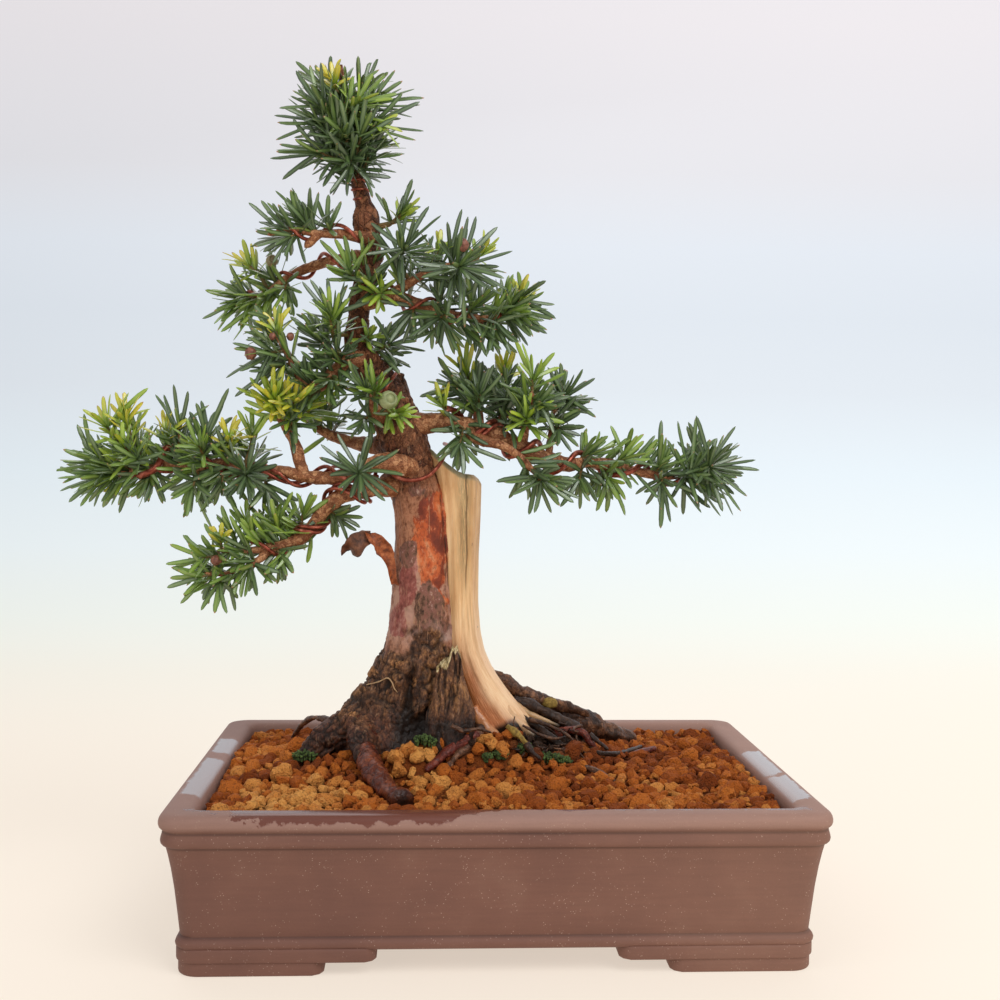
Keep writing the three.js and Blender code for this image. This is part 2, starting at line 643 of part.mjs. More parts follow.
const tuftCutters = [trunkCutter, deadwoodCutter, wireCutters.at(-1)];
tuftCutters.push(...Object.keys(branches).flatMap(sleeve));
Object.entries(foliage).forEach(([name, lumps]) => {
  const tuft = join(lumps.map((place) => lump(place)));
  keep(name, cut(tuft, tuftCutters), colours.needles);
  tuftCutters.push(join(lumps.map((place) => lump(place, gap))));
});

const pocketHeight = 4 * clipRadius + meshThickness;
const pocket = [meshSize + 1, meshSize + 1, pocketHeight * 2];
const meshPockets = drainPlaces.map((x) => block(...pocket, x, 0, floorTop));
keep('soil', cut(makeSoil(0), [...woodCutters, ...meshPockets]), colours.soil, 0.95);
const soilCutter = makeSoil(gap);
Object.entries(mossPatches).forEach(([name, place]) => {
  keep(name, cut(lump(place), [soilCutter, ...woodCutters]), colours.moss, 0.95);
});

// The strip of bark that peels from the left of the trunk, and two seeds among the needles.
const barkCurl = [
  [-47, 164, -9, 2], [-53, 172, -12, 2.4], [-55, 180, -14, 3], [-58, 186, -15, 3.4],
  [-64, 188, -16, 2.4], [-70, 185, -17, 4],
  [-75, 179, -17, 2],
];
keep('bark_curl', cut(limb(barkCurl), [...woodCutters, ...wireCutters]), colours.bark);
const seeds = { seed_top: [-54, 258.5, -31, 4.8], seed_left: [-113.5, 328.5, 2, 3.2] };
Object.entries(seeds).forEach(([name, [x, z, y, radius]]) => {
  const seed = lump([x, z, y, radius, radius, radius]);
  keep(name, cut(seed, [...tuftCutters, ...woodCutters]), colours.seed, 0.5);
});

const bonsai = new THREE.Group();
pieces.forEach((mesh) => bonsai.add(mesh));
const middle = new THREE.Box3().setFromObject(bonsai).getCenter(new THREE.Vector3());
bonsai.position.set(-middle.x, -middle.y, 0);

export default bonsai;
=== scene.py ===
"""A Japanese yew bonsai in a rectangular stoneware pot, finished round its CAD frame.

Shapes are worked out in millimetres from the centre of the pot, on the surface that its feet
stand on, and are moved into the frame when they become meshes. Places on the tree are given as
[x, z, y]: x and z where the tree's mid plane shows them to the camera, y the depth behind it.
"""

import itertools
import math

import bmesh
import bpy
import numpy as np
from mathutils import Matrix, Vector


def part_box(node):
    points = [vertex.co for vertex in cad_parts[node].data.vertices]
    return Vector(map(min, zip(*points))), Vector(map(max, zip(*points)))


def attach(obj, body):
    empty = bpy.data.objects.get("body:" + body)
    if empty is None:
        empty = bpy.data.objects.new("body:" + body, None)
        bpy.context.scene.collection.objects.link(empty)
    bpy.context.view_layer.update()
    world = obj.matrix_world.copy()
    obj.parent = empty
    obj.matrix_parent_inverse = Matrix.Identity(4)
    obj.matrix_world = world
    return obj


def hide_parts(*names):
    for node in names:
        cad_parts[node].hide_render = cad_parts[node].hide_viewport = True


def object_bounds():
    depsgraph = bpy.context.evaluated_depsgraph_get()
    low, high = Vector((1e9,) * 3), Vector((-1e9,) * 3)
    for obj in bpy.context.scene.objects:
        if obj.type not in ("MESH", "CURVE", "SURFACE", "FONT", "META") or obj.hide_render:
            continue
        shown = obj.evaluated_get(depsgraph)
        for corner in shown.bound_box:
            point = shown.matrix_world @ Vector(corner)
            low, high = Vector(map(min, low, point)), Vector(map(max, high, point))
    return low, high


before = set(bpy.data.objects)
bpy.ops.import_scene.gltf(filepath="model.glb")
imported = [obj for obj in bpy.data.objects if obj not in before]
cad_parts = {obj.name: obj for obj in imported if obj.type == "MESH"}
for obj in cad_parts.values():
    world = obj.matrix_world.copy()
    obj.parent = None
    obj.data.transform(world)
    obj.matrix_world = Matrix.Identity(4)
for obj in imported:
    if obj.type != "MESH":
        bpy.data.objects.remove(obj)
cad_box = [list(corner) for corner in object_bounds()]

MM = 0.001
pot_low, pot_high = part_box("pot")
POT_CENTRE = np.array((pot_low + pot_high) / 2)
TO_FRAME = np.array((POT_CENTRE[0], POT_CENTRE[1], 0.0))
EYE = np.array((-33.0, -687.0, 228.0))
rng = np.random.default_rng(7)

# Pot and soil, mm
POT_LENGTH = 300.0
POT_DEPTH = 220.0
CORNER = 10.0
OUTLINE = POT_LENGTH / 2
INSET = (POT_LENGTH - POT_DEPTH) / 2
FOOT_HEIGHT = 6.0
TIER_HEIGHT = 5.0
FOOT_INSET = 7.7
FOOT_WIDTH = 14.0
FOOT_LENGTH = 65.0
TIER_LENGTH = 89.0
SIDE_SHARE = 0.69
FOOT_EDGE = 1.1
DRAIN_RADIUS = 11.0
DRAIN_PLACES = (-62.0, 62.0)
SOIL_EDGE = 68.0
SOIL_MOUND = 17.0

# Wires, mm
THIN_WIRE = 1.0
THICK_WIRE = 1.4
WINDING_GAP = 0.9

# The grid in which the trunk's parts grow together, mm
TRUNK_GRAIN = 0.9

# Needles: their width and how far apart they sit on a stem, mm, and the turn between them
NEEDLE_WIDTH = 2.5
NEEDLE_SPACING = 0.62
GOLDEN_TURN = math.radians(137.5)


# Numbers: places, curves and noise


def seen(x, z, y=0.0):
    """The point that shows at x, z of the mid plane and lies y behind it."""
    reach = (y - EYE[1]) / -EYE[1]
    return np.array((EYE[0] + (x - EYE[0]) * reach, y, EYE[2] + (z - EYE[2]) * reach))


def shown_at(points):
    """x and z of the mid plane where the camera sees these points."""
    reach = -EYE[1] / (points[..., 1] - EYE[1])
    return (
        EYE[0] + (points[..., 0] - EYE[0]) * reach,
        EYE[2] + (points[..., 2] - EYE[2]) * reach,
    )


def ease(low, high, value):
    """0 below low, 1 above high, and a smooth change between them. low may be the larger."""
    t = np.clip((value - low) / (high - low), 0, 1)
    return t * t * (3 - 2 * t)


def bell(*offsets):
    """1 where every offset is 0, falling away on all sides to 0.37 at 1."""
    return np.exp(-sum(offset**2 for offset in offsets))


def unit(vectors):
    """The same directions, 1 long."""
    return vectors / np.maximum(np.linalg.norm(vectors, axis=-1, keepdims=True), 1e-9)


def hashed(cells, seed):
    """A steady value from -1 to 1 for each whole-numbered cell."""
    c = cells.astype(np.int64)
    h = c[..., 0] * 73856093 ^ c[..., 1] * 19349663 ^ c[..., 2] * 83492791 ^ (seed * 26544357 + 977)
    h = (h ^ (h >> 13)) * 1274126177 & 0x7FFFFFFF
    h = (h ^ (h >> 15)) * 461845907 & 0x7FFFFFFF
    return (h % 65536) / 32768.0 - 1


def wander(points, size, seed=0):
    """Smooth noise whose lumps are size across; size is one number or one for each axis."""
    scaled = points / np.asarray(size, float)
    base = np.floor(scaled)
    part = scaled - base
    part = part * part * (3 - 2 * part)
    total = 0.0
    for corner in itertools.product((0, 1), repeat=3):
        weight = np.prod(np.where(np.array(corner) == 1, part, 1 - part), axis=-1)
        total = total + weight * hashed(base + np.array(corner), seed)
    return total


def layers(points, size, seed=0, count=3):
    """Noise with finer and weaker layers on top."""
    size = np.asarray(size, float)
    return sum(wander(points, size / 2**k, seed + 17 * k) / 1.8**k for k in range(count))


def plates(points, size, seed=0):
    """Irregular plates: how near a crack is (0 on it), and a steady value for each plate."""
    scaled = points / np.asarray(size, float)
    base = np.floor(scaled)
    near = np.full(scaled.shape[:-1], 9.0)
    after = near.copy()
    value = np.zeros_like(near)
    for step in itertools.product((-1, 0, 1), repeat=3):
        cell = base + np.array(step)
        site = cell + 0.5 + 0.42 * np.stack([hashed(cell, seed + k) for k in range(3)], axis=-1)
        distance = np.linalg.norm(scaled - site, axis=-1)
        closer = distance < near
        after = np.where(closer, near, np.minimum(after, distance))
        value = np.where(closer, hashed(cell, seed + 5), value)
        near = np.where(closer, distance, near)
    return after - near, value


def spline(points, per_span=8):
    """Points of a smooth curve through the given ones, per_span to each span."""
    given = np.asarray(points, float)
    given = np.vstack((2 * given[0] - given[1], given, 2 * given[-1] - given[-2]))
    t = np.arange(per_span)[:, None] / per_span
    made = []
    for i in range(1, len(given) - 2):
        p0, p1, p2, p3 = given[i - 1 : i + 3]
        d0, d1, d2 = (max(np.linalg.norm(b - a), 1e-6) ** 0.5 for a, b in ((p0, p1), (p1, p2), (p2, p3)))
        m1 = ((p1 - p0) / d0 - (p2 - p0) / (d0 + d1) + (p2 - p1) / d1) * d1
        m2 = ((p2 - p1) / d1 - (p3 - p1) / (d1 + d2) + (p3 - p2) / d2) * d1
        bend = -3 * p1 + 3 * p2 - 2 * m1 - m2
        made.append(p1 + m1 * t + bend * t**2 + (2 * p1 - 2 * p2 + m1 + m2) * t**3)
    return np.vstack((*made, given[-2][None]))


def along(values, per_span=8):
    """Values given at a route's points, run evenly over the curve's points."""
    places = np.arange((len(values) - 1) * per_span + 1) / per_span
    return np.interp(places, np.arange(len(values)), values)


def route_line(route, per_span=8):
    """The curve through a route of [x, z, y, radius], and the radius at each of its points."""
    centres = [seen(x, z, y) for x, z, y, _ in route]
    return spline(centres, per_span), along([row[3] for row in route], per_span)


def evenly(line, spacing, least):
    """A line with its points spacing apart, at least so many, and how far along each one is."""
    length = np.concatenate(([0], np.cumsum(np.linalg.norm(np.diff(line, axis=0), axis=1))))
    at = np.linspace(0, length[-1], max(int(length[-1] / spacing), least))
    return np.column_stack([np.interp(at, length, line[:, k]) for k in range(3)]), at, length


def frames_along(line):
    """Tangents of a line, and two directions across it that turn as little as they can."""
    tangents = unit(np.gradient(line, axis=0))
    start = np.array((0.0, 0.0, 1.0)) if abs(tangents[0][2]) < 0.8 else np.array((0.0, -1.0, 0.0))
    across = np.zeros_like(line)
    across[0] = unit(start - tangents[0] * (start @ tangents[0]))
    for k in range(1, len(line)):
        turned = across[k - 1] - tangents[k] * (across[k - 1] @ tangents[k])
        across[k] = turned / np.linalg.norm(turned)
    return tangents, across, np.cross(tangents, across)


# Meshes


def tube_grid(line, radii, sides):
    """Rings round a line: an array of rows, sides and x, y, z, and each point's way out."""
    _, across, beside = frames_along(line)
    angle = 2 * np.pi * np.arange(sides) / sides
    out = np.cos(angle)[None, :, None] * across[:, None] + np.sin(angle)[None, :, None] * beside[:, None]
    return line[:, None] + out * np.asarray(radii)[:, None, None], out


def shell(grid):
    """A closed skin: rows of rings joined to each other, with a point at either end."""
    rows, sides = grid.shape[:2]
    points = np.vstack((grid.reshape(-1, 3), grid[0].mean(0)[None], grid[-1].mean(0)[None]))
    faces = []
    for row in range(rows - 1):
        for side in range(sides):
            after = (side + 1) % sides
            low, high = row * sides, (row + 1) * sides
            faces.append((low + side, low + after, high + after, high + side))
    first, last = rows * sides, rows * sides + 1
    top = (rows - 1) * sides
    for side in range(sides):
        after = (side + 1) % sides
        faces.append((after, side, first))
        faces.append((top + side, top + after, last))
    return points, faces


def merged(parts):
    """Several (points, faces) as one."""
    points, faces, offset = [], [], 0
    for part_points, part_faces in parts:
        points.append(part_points)
        faces.extend(tuple(i + offset for i in face) for face in part_faces)
        offset += len(part_points)
    return np.vstack(points), faces


def linked(name, data):
    """A new object of the scene that shows this mesh, light or camera."""
    made = bpy.data.objects.new(name, data)
    bpy.context.scene.collection.objects.link(made)
    return made


def tagged(mesh, **attributes):
    """Gives a mesh's points these float attributes."""
    for key, values in attributes.items():
        layer = mesh.attributes.new(key, "FLOAT", "POINT")
        layer.data.foreach_set("value", np.asarray(values, np.float32).ravel())


def mesh_object(name, part, finish, **attributes):
    """A smooth object of this (points, faces) with its float attributes, in the frame."""
    points, faces = part
    mesh = bpy.data.meshes.new(name)
    mesh.from_pydata(points * MM + TO_FRAME, [], faces)
    mesh.materials.append(finish)
    tagged(mesh, **attributes)
    mesh.shade_smooth()
    outward(mesh)
    return linked(name, mesh)


def outward(mesh):
    """Turns every closed shell of a mesh the right way out."""
    work = bmesh.new()
    work.from_mesh(mesh)
    bmesh.ops.recalc_face_normals(work, faces=work.faces)
    work.to_mesh(mesh)
    work.free()


def points_of(mesh):
    """A mesh's points in layout millimetres, and its point normals."""
    places = np.zeros(len(mesh.vertices) * 3)
    mesh.vertices.foreach_get("co", places)
    normals = np.zeros(len(mesh.vertices) * 3)
    mesh.vertex_normals.foreach_get("vector", normals)
    return (places.reshape(-1, 3) - TO_FRAME) / MM, normals.reshape(-1, 3)


def set_points(mesh, points):
    """Moves a mesh's points to these places in layout millimetres."""
    mesh.vertices.foreach_set("co", (points * MM + TO_FRAME).ravel())
    mesh.update()


def plain(made):
    """The object with its modifiers taken into its mesh."""
    graph = bpy.context.evaluated_depsgraph_get()
    graph.update()
    mesh = bpy.data.meshes.new_from_object(made.evaluated_get(graph))
    made.modifiers.clear()
    old, made.data = made.data, mesh
    bpy.data.meshes.remove(old)
    mesh.name = made.name
    return made


def fused(name, parts, voxel, material):
    """Closed parts grown into one skin by filling a grid of voxel millimetres."""
    made = mesh_object(name, merged(parts), material)
    remesh = made.modifiers.new("grow together", "REMESH")
    remesh.mode = "VOXEL"
    remesh.voxel_size = voxel * MM
    remesh.use_smooth_shade = True
    relax = made.modifiers.new("relax", "SMOOTH")
    relax.factor = 0.5
    relax.iterations = 4
    return plain(made)


def pattern(name, mesh):
    """A small mesh that the trees of geometry nodes repeat, kept out of the picture itself."""
    mesh.shade_smooth()
    made = linked(name, mesh)
    made.hide_render = True
    return made


def finished(made, nodes):
    """The piece rides on the one body and stands for its CAD nodes, if any."""
    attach(made, "root")
    if nodes:
        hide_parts(*nodes)
    return made


# Materials


def colour(red, green, blue):
    """A colour as seen, 0 to 255, for a shader."""
    linear = [c / 255 / 12.92 if c < 10 else ((c / 255 + 0.055) / 1.055) ** 2.4 for c in (red, green, blue)]
    return *linear, 1.0


class Wiring:
    """Adds nodes to a tree. Each call makes one, sets its options and fills or joins its inputs."""

    def __init__(self, tree):
        self.tree = tree

    def __call__(self, kind, inputs=None, **options):
        node = self.tree.nodes.new(kind)
        for key, value in options.items():
            setattr(node, key, value)
        for key, value in (inputs or {}).items():
            self.fill(node.inputs[key], value)
        return node

    def fill(self, socket, value):
        """Joins a node or a socket to this one, or sets it to a plain value."""
        if isinstance(value, bpy.types.Node):
            value = next(out for out in value.outputs if out.enabled)
        if isinstance(value, bpy.types.NodeSocket):
            self.tree.links.new(value, socket)
        else:
            socket.default_value = value

    def math(self, operation, *values):
        """One step of arithmetic on single values."""
        return self("ShaderNodeMath", dict(enumerate(values)), operation=operation).outputs[0]

    def times(self, value, share):
        """value times share."""
        return self.math("MULTIPLY", value, share)

    def less(self, value, other):
        """value less the other one."""
        return self.math("SUBTRACT", value, other)

    def most(self, *values):
        """The largest of several values."""
        *others, total = values
        for value in reversed(others):
            total = self.math("MAXIMUM", value, total)
        return total

    def weighed(self, *terms):
        """The sum of value, weight, value, weight and so on, and of one value left over."""
        terms = list(terms)
        total = terms.pop() if len(terms) % 2 else self.times(*(terms.pop(-2), terms.pop()))
        while terms:
            weight, value = terms.pop(), terms.pop()
            total = self.math("MULTIPLY_ADD", value, weight, total)
        return total

    def split(self, vector):
        """The x, y and z of a vector."""
        return self("ShaderNodeSeparateXYZ", {0: vector}).outputs

    def mix(self, share, low, high):
        """low where share is 0 and high where it is 1, as colours."""
        node = self("ShaderNodeMix", data_type="RGBA")
        self.fill(node.inputs[0], share)
        for key, value in ((6, low), (7, high)):
            self.fill(node.inputs[key], colour(*value) if isinstance(value, tuple) else value)
        return node.outputs[2]

    def between(self, value, low, high, to_low=0.0, to_high=1.0):
        """to_low where value is low, to_high where it is high, and an easy change between."""
        inputs = {"Value": value, "From Min": low, "From Max": high, "To Min": to_low, "To Max": to_high}
        return self("ShaderNodeMapRange", inputs, interpolation_type="SMOOTHSTEP").outputs[0]

    def window(self, value, low, high, soft):
        """1 from low to high, easing to 0 over soft on either side."""
        return self.times(
            self.between(value, low - soft, low + soft), self.between(value, high + soft, high - soft),
        )

    def ramp(self, share, *stops):
        """Colours that change with share; each stop is its place and the colour as seen."""
        node = self("ShaderNodeValToRGB", {"Fac": share})
        elements = node.color_ramp.elements
        while len(elements) < len(stops):
            elements.new(0.5)
        for element, (place, *shade) in zip(elements, stops):
            element.position = place
            element.color = colour(*shade)
        return node.outputs[0]

    def noise(self, vector, scale, detail=3.0, roughness=0.55):
        """Noise round 0.5, scale lumps to each unit of the vector."""
        inputs = {"Vector": vector, "Scale": scale, "Detail": detail, "Roughness": roughness}
        return self("ShaderNodeTexNoise", inputs).outputs[0]

    def attribute(self, name):
        """A float attribute of the surface's points."""
        return self("ShaderNodeAttribute", attribute_name=name).outputs["Fac"]

    def place(self, stretch=(1.0, 1.0, 1.0)):
        """Object coordinates in millimetres, divided by stretch along each axis."""
        coords = self("ShaderNodeTexCoord").outputs["Object"]
        scale = tuple(1000.0 / s for s in stretch)
        return self("ShaderNodeMapping", {"Vector": coords, "Scale": scale}).outputs[0]


def surface(name, **settings):
    """A new material, its wiring and its shader."""
    made = bpy.data.materials.new(name)
    made.use_nodes = True
    made.node_tree.nodes.clear()
    n = Wiring(made.node_tree)
    shader = n("ShaderNodeBsdfPrincipled")
    for key, value in settings.items():
        shader.inputs[key.replace("_", " ").title().replace("Ior", "IOR")].default_value = value
    n("ShaderNodeOutputMaterial", {"Surface": shader.outputs[0]})
    return made, n, shader


def paint(n, shader, body, rough=None):
    """Joins a colour, and a roughness that changes over the surface, to the shader."""
    n.fill(shader.inputs["Base Color"], body)
    if rough is not None:
        n.fill(shader.inputs["Roughness"], rough)


def bump(n, shader, height, strength, distance_mm):
    """Relief of this height on the surface."""
    inputs = {"Height": height, "Strength": strength, "Distance": distance_mm * MM}
    n.fill(shader.inputs["Normal"], n("ShaderNodeBump", inputs).outputs[0])


def effect(name, inputs, outputs, build):
    """A shader effect that several materials share, with named inputs and outputs."""
    group = bpy.data.node_groups.new(name, "ShaderNodeTree")
    for label, kind, value in inputs:
        socket = group.interface.new_socket(label, in_out="INPUT", socket_type=kind)
        if value is not None:
            socket.default_value = value
    for label in outputs:
        group.interface.new_socket(label, in_out="OUTPUT", socket_type="NodeSocketFloat")
    n = Wiring(group)
    start = n("NodeGroupInput").outputs
    end = n("NodeGroupOutput")
    for label, value in build(n, start).items():
        n.fill(end.inputs[label], value)
    return group


def use(n, group, **inputs):
    """One of the shared effects in this material; returns its outputs."""
    node = n("ShaderNodeGroup", node_tree=group)
    for key, value in inputs.items():
        n.fill(node.inputs[key.replace("_", " ").capitalize()], value)
    return node.outputs


def build_flakes(n, start):
    """Plates of bark with cracks round them, and fibres on them. The vector is in millimetres."""
    bent = n("ShaderNodeVectorMath", operation="MULTIPLY_ADD")
    wobble = n(
        "ShaderNodeTexNoise", {"Vector": start["Vector"], "Scale": 0.35, "Detail": 2.0}
    ).outputs["Color"]
    n.fill(bent.inputs[0], wobble)
    bent.inputs[1].default_value = (3.0, 3.0, 3.0)
    n.fill(bent.inputs[2], start["Vector"])
    cell = {"Vector": bent.outputs[0], "Scale": start["Scale"], "Randomness": 1.0}
    edges = n("ShaderNodeTexVoronoi", cell, feature="DISTANCE_TO_EDGE").outputs["Distance"]
    tones = n("ShaderNodeTexVoronoi", cell, feature="F1").outputs["Color"]
    crack = n.between(edges, 0.0, 0.16, 1.0, 0.0)
    grain = n.noise(bent.outputs[0], 1.3, 5.0, 0.65)
    tone = n("ShaderNodeSeparateColor", {"Color": tones}).outputs[0]
    height = n.weighed(tone, 0.5, crack, -0.9, grain)
    return {"Tone": tone, "Crack": crack, "Grain": grain, "Height": height}


def build_fibre(n, start):
    """Long fibres: streaks of tone and fine ridges."""
    broad = n.noise(start["Vector"], 0.22, 4.0, 0.6)
    fine = n.noise(start["Vector"], 1.6, 5.0, 0.7)
    return {"Streak": broad, "Height": n.weighed(fine, 0.6, broad), "Fine": fine}


def build_grit(n, start):
    """Fine grit, and rare specks that stand out of it."""
    fine = n.noise(start["Vector"], start["Scale"], 4.0, 0.7)
    cell = {"Vector": start["Vector"], "Scale": n.times(start["Scale"], 0.28), "Randomness": 1.0}
    spot = n("ShaderNodeTexVoronoi", cell, feature="F1").outputs["Distance"]
    return {"Grit": fine, "Specks": n.between(spot, 0.1, 0.2, 1.0, 0.0)}


VECTOR = ("Vector", "NodeSocketVector", None)
bark_flakes = effect(
    "bark_flakes", [VECTOR, ("Scale", "NodeSocketFloat", 0.2)], ["Tone", "Crack", "Grain", "Height"],
    build_flakes
)
wood_fibre = effect("wood_fibre", [VECTOR], ["Streak", "Fine", "Height"], build_fibre)
fine_grit = effect("fine_grit", [VECTOR, ("Scale", "NodeSocketFloat", 1.0)], ["Grit", "Specks"], build_grit)


# Where water stands on the rim, mm: along the depth of the left and the right side, and along
# the length of the front
LEFT_FILMS = ((23.0, 56.0), (-67.0, 9.0))
RIGHT_FILMS = ((-28.0, 23.0), (-76.0, -32.0))
FRONT_FILMS = ((-108.0, -45.0), (25.0, 104.0))
FRONT_SOAKED = (-118.0, -12.0)
# Heights of the grooves under the rim and the mouldings, darkened with painted shade
GROOVES = ((57.6, 58.4), (64.3, 65.3), (16.7, 17.5))


def clay_finish():
    """Unglazed purple-brown stoneware, wet where water has run over the rim, with painted light and shade.
    """
    made, n, shader = surface("fired_clay")
    place = n.place()
    grit = use(n, fine_grit, vector=place, scale=1.1)
    cloud = n.noise(place, 0.02, 3.0, 0.6)
    body = n.ramp(cloud, (0.3, 112, 74, 62), (0.55, 121, 81, 67), (0.75, 130, 92, 77))
    x, y, z = n.split(place)[:3]
    # The roll under the rim's top is lighter: a painted highlight
    body = n.mix(n.between(z, 64.6, 69.0, 0.0, 0.72), body, (166, 130, 117))
    dots = use(n, fine_grit, vector=place, scale=2.6)["Specks"]
    specks = n.times(dots, n.between(n.noise(place, 0.16, 3.0), 0.46, 0.6))
    body = n.mix(n.times(specks, 0.6), body, (206, 178, 160))
    ragged = n.less(n.noise(place, 0.1, 5.0, 0.66), 0.5)
    middle = n.less(x, TO_FRAME[0] / MM)
    inward = n.less(POT_DEPTH / 2, n.math("ABSOLUTE", y))
    beside = n.less(OUTLINE, n.math("ABSOLUTE", middle))
    depth = n.math("MINIMUM", inward, beside)
    along_side = n.weighed(ragged, 16.0, beside, 0.5, y)
    along_front = n.weighed(ragged, 60.0, middle)

    def lying(way, stretches, soft):
        """Where water stands, along one side of the rim."""
        return n.most(*(n.window(way, low, high, soft) for low, high in stretches))

    left = n.times(lying(along_side, LEFT_FILMS, 1.2), n.between(middle, 0.0, -1.0, 0.0, 0.75))
    right = n.times(lying(along_side, RIGHT_FILMS, 1.2), n.between(middle, 0.0, 1.0))
    film = n.times(n.most(left, right), n.between(n.weighed(ragged, 7.0, depth), 2.6, 4.6))
    film = n.times(film, n.between(n.math("ABSOLUTE", y), 99.0, 97.0))
    front = n.times(
        lying(along_front, FRONT_FILMS, 5.0), n.between(n.weighed(ragged, 3.0, depth), 10.6, 11.6)
    )
    front = n.times(front, n.between(y, -96.0, -98.0))
    film = n.times(n.most(film, front), n.between(z, 71.0, 72.8))
    # Past the front rim's inner edge the clay is soaked, to a ragged line.
    run = n.weighed(z, -1.2, n.less(100.0, depth))
    limit = n.weighed(n.window(along_front, *FRONT_SOAKED, 14.0), 13.5, ragged, 20.0)
    soaked = n.times(n.between(n.less(run, limit), 3.4, 1.6), n.between(y, -94.0, -97.0))
    wet = n.most(film, soaked)
    body = n.mix(n.times(film, 0.6), body, (88, 56, 48))
    body = n.mix(n.times(soaked, 0.85), body, (102, 49, 36))
    # Painted shade in the grooves under the rim and between the mouldings
    grooves = n.most(*(n.window(z, low, high, 0.6) for low, high in GROOVES))
    grooves = n.times(grooves, n.between(depth, 12.0, 11.0, 0.0, 0.6))
    body = n.mix(grooves, body, (58, 36, 30))
    # Painted shade on the left of the pot and painted light on its right
    body = n.mix(n.between(middle, -OUTLINE, 0.0, 0.2, 0.0), body, (84, 52, 44))
    body = n.mix(n.between(middle, 0.0, OUTLINE, 0.0, 0.2), body, (170, 130, 108))
    drawn = n.noise(n.place((24.0, 24.0, 1.6)), 1.0, 4.0, 0.6)
    grain = n.weighed(grit["Grit"], 0.16, drawn, 0.24, 0.8)
    tinted = n("ShaderNodeVectorMath", {0: body}, operation="SCALE")
    n.fill(tinted.inputs["Scale"], grain)
    paint(n, shader, tinted.outputs[0], n.between(wet, 0.2, 0.9, 0.66, 0.24))
    n.fill(shader.inputs["Coat Weight"], film)
    shader.inputs["Coat Roughness"].default_value = 0.06
    shader.inputs["Coat IOR"].default_value = 1.9
    bump(n, shader, n.times(grit["Grit"], n.less(1.0, n.times(wet, 0.85))), 0.4, 0.3)
    return made


def grain_finish():
    """Baked clay grains, ochre where dry and red-brown where wet, with painted shade where they lie low."""
    made, n, shader = surface("akadama_grains", specular_ior_level=0.25)
    place = n.place()
    grit = use(n, fine_grit, vector=place, scale=1.4)
    tone = n.weighed(grit["Grit"], 0.35, n.attribute("tone"))
    body = n.ramp(
        tone, (0.08, 98, 42, 12), (0.32, 160, 78, 22), (0.56, 204, 112, 38), (0.92, 242, 170, 88),
    )
    body = n.mix(n.times(grit["Specks"], 0.4), body, (104, 48, 20))
    pits = n.between(n.noise(place, 0.7, 4.0, 0.7), 0.48, 0.36)
    body = n.mix(n.times(pits, 0.5), body, (92, 42, 18))
    body = n.mix(n.attribute("humus"), body, n.ramp(grit["Grit"], (0.35, 30, 19, 12), (0.65, 80, 53, 35)))
    # Painted shade on the low sides of grains and on the bed between them
    body = n.mix(n.times(n.attribute("deep"), 0.78), body, (58, 24, 8))
    paint(n, shader, body, n.between(n.attribute("humus"), 0.2, 0.9, 0.88, 0.7))
    crumbs = n("ShaderNodeTexVoronoi", {"Vector": place, "Scale": 0.95}, feature="F1").outputs["Distance"]
    relief = n.weighed(crumbs, -0.8, n.noise(place, 0.55, 5.0, 0.7), 1.2, grit["Grit"])
    bump(n, shader, relief, 1.0, 1.1)
    return made


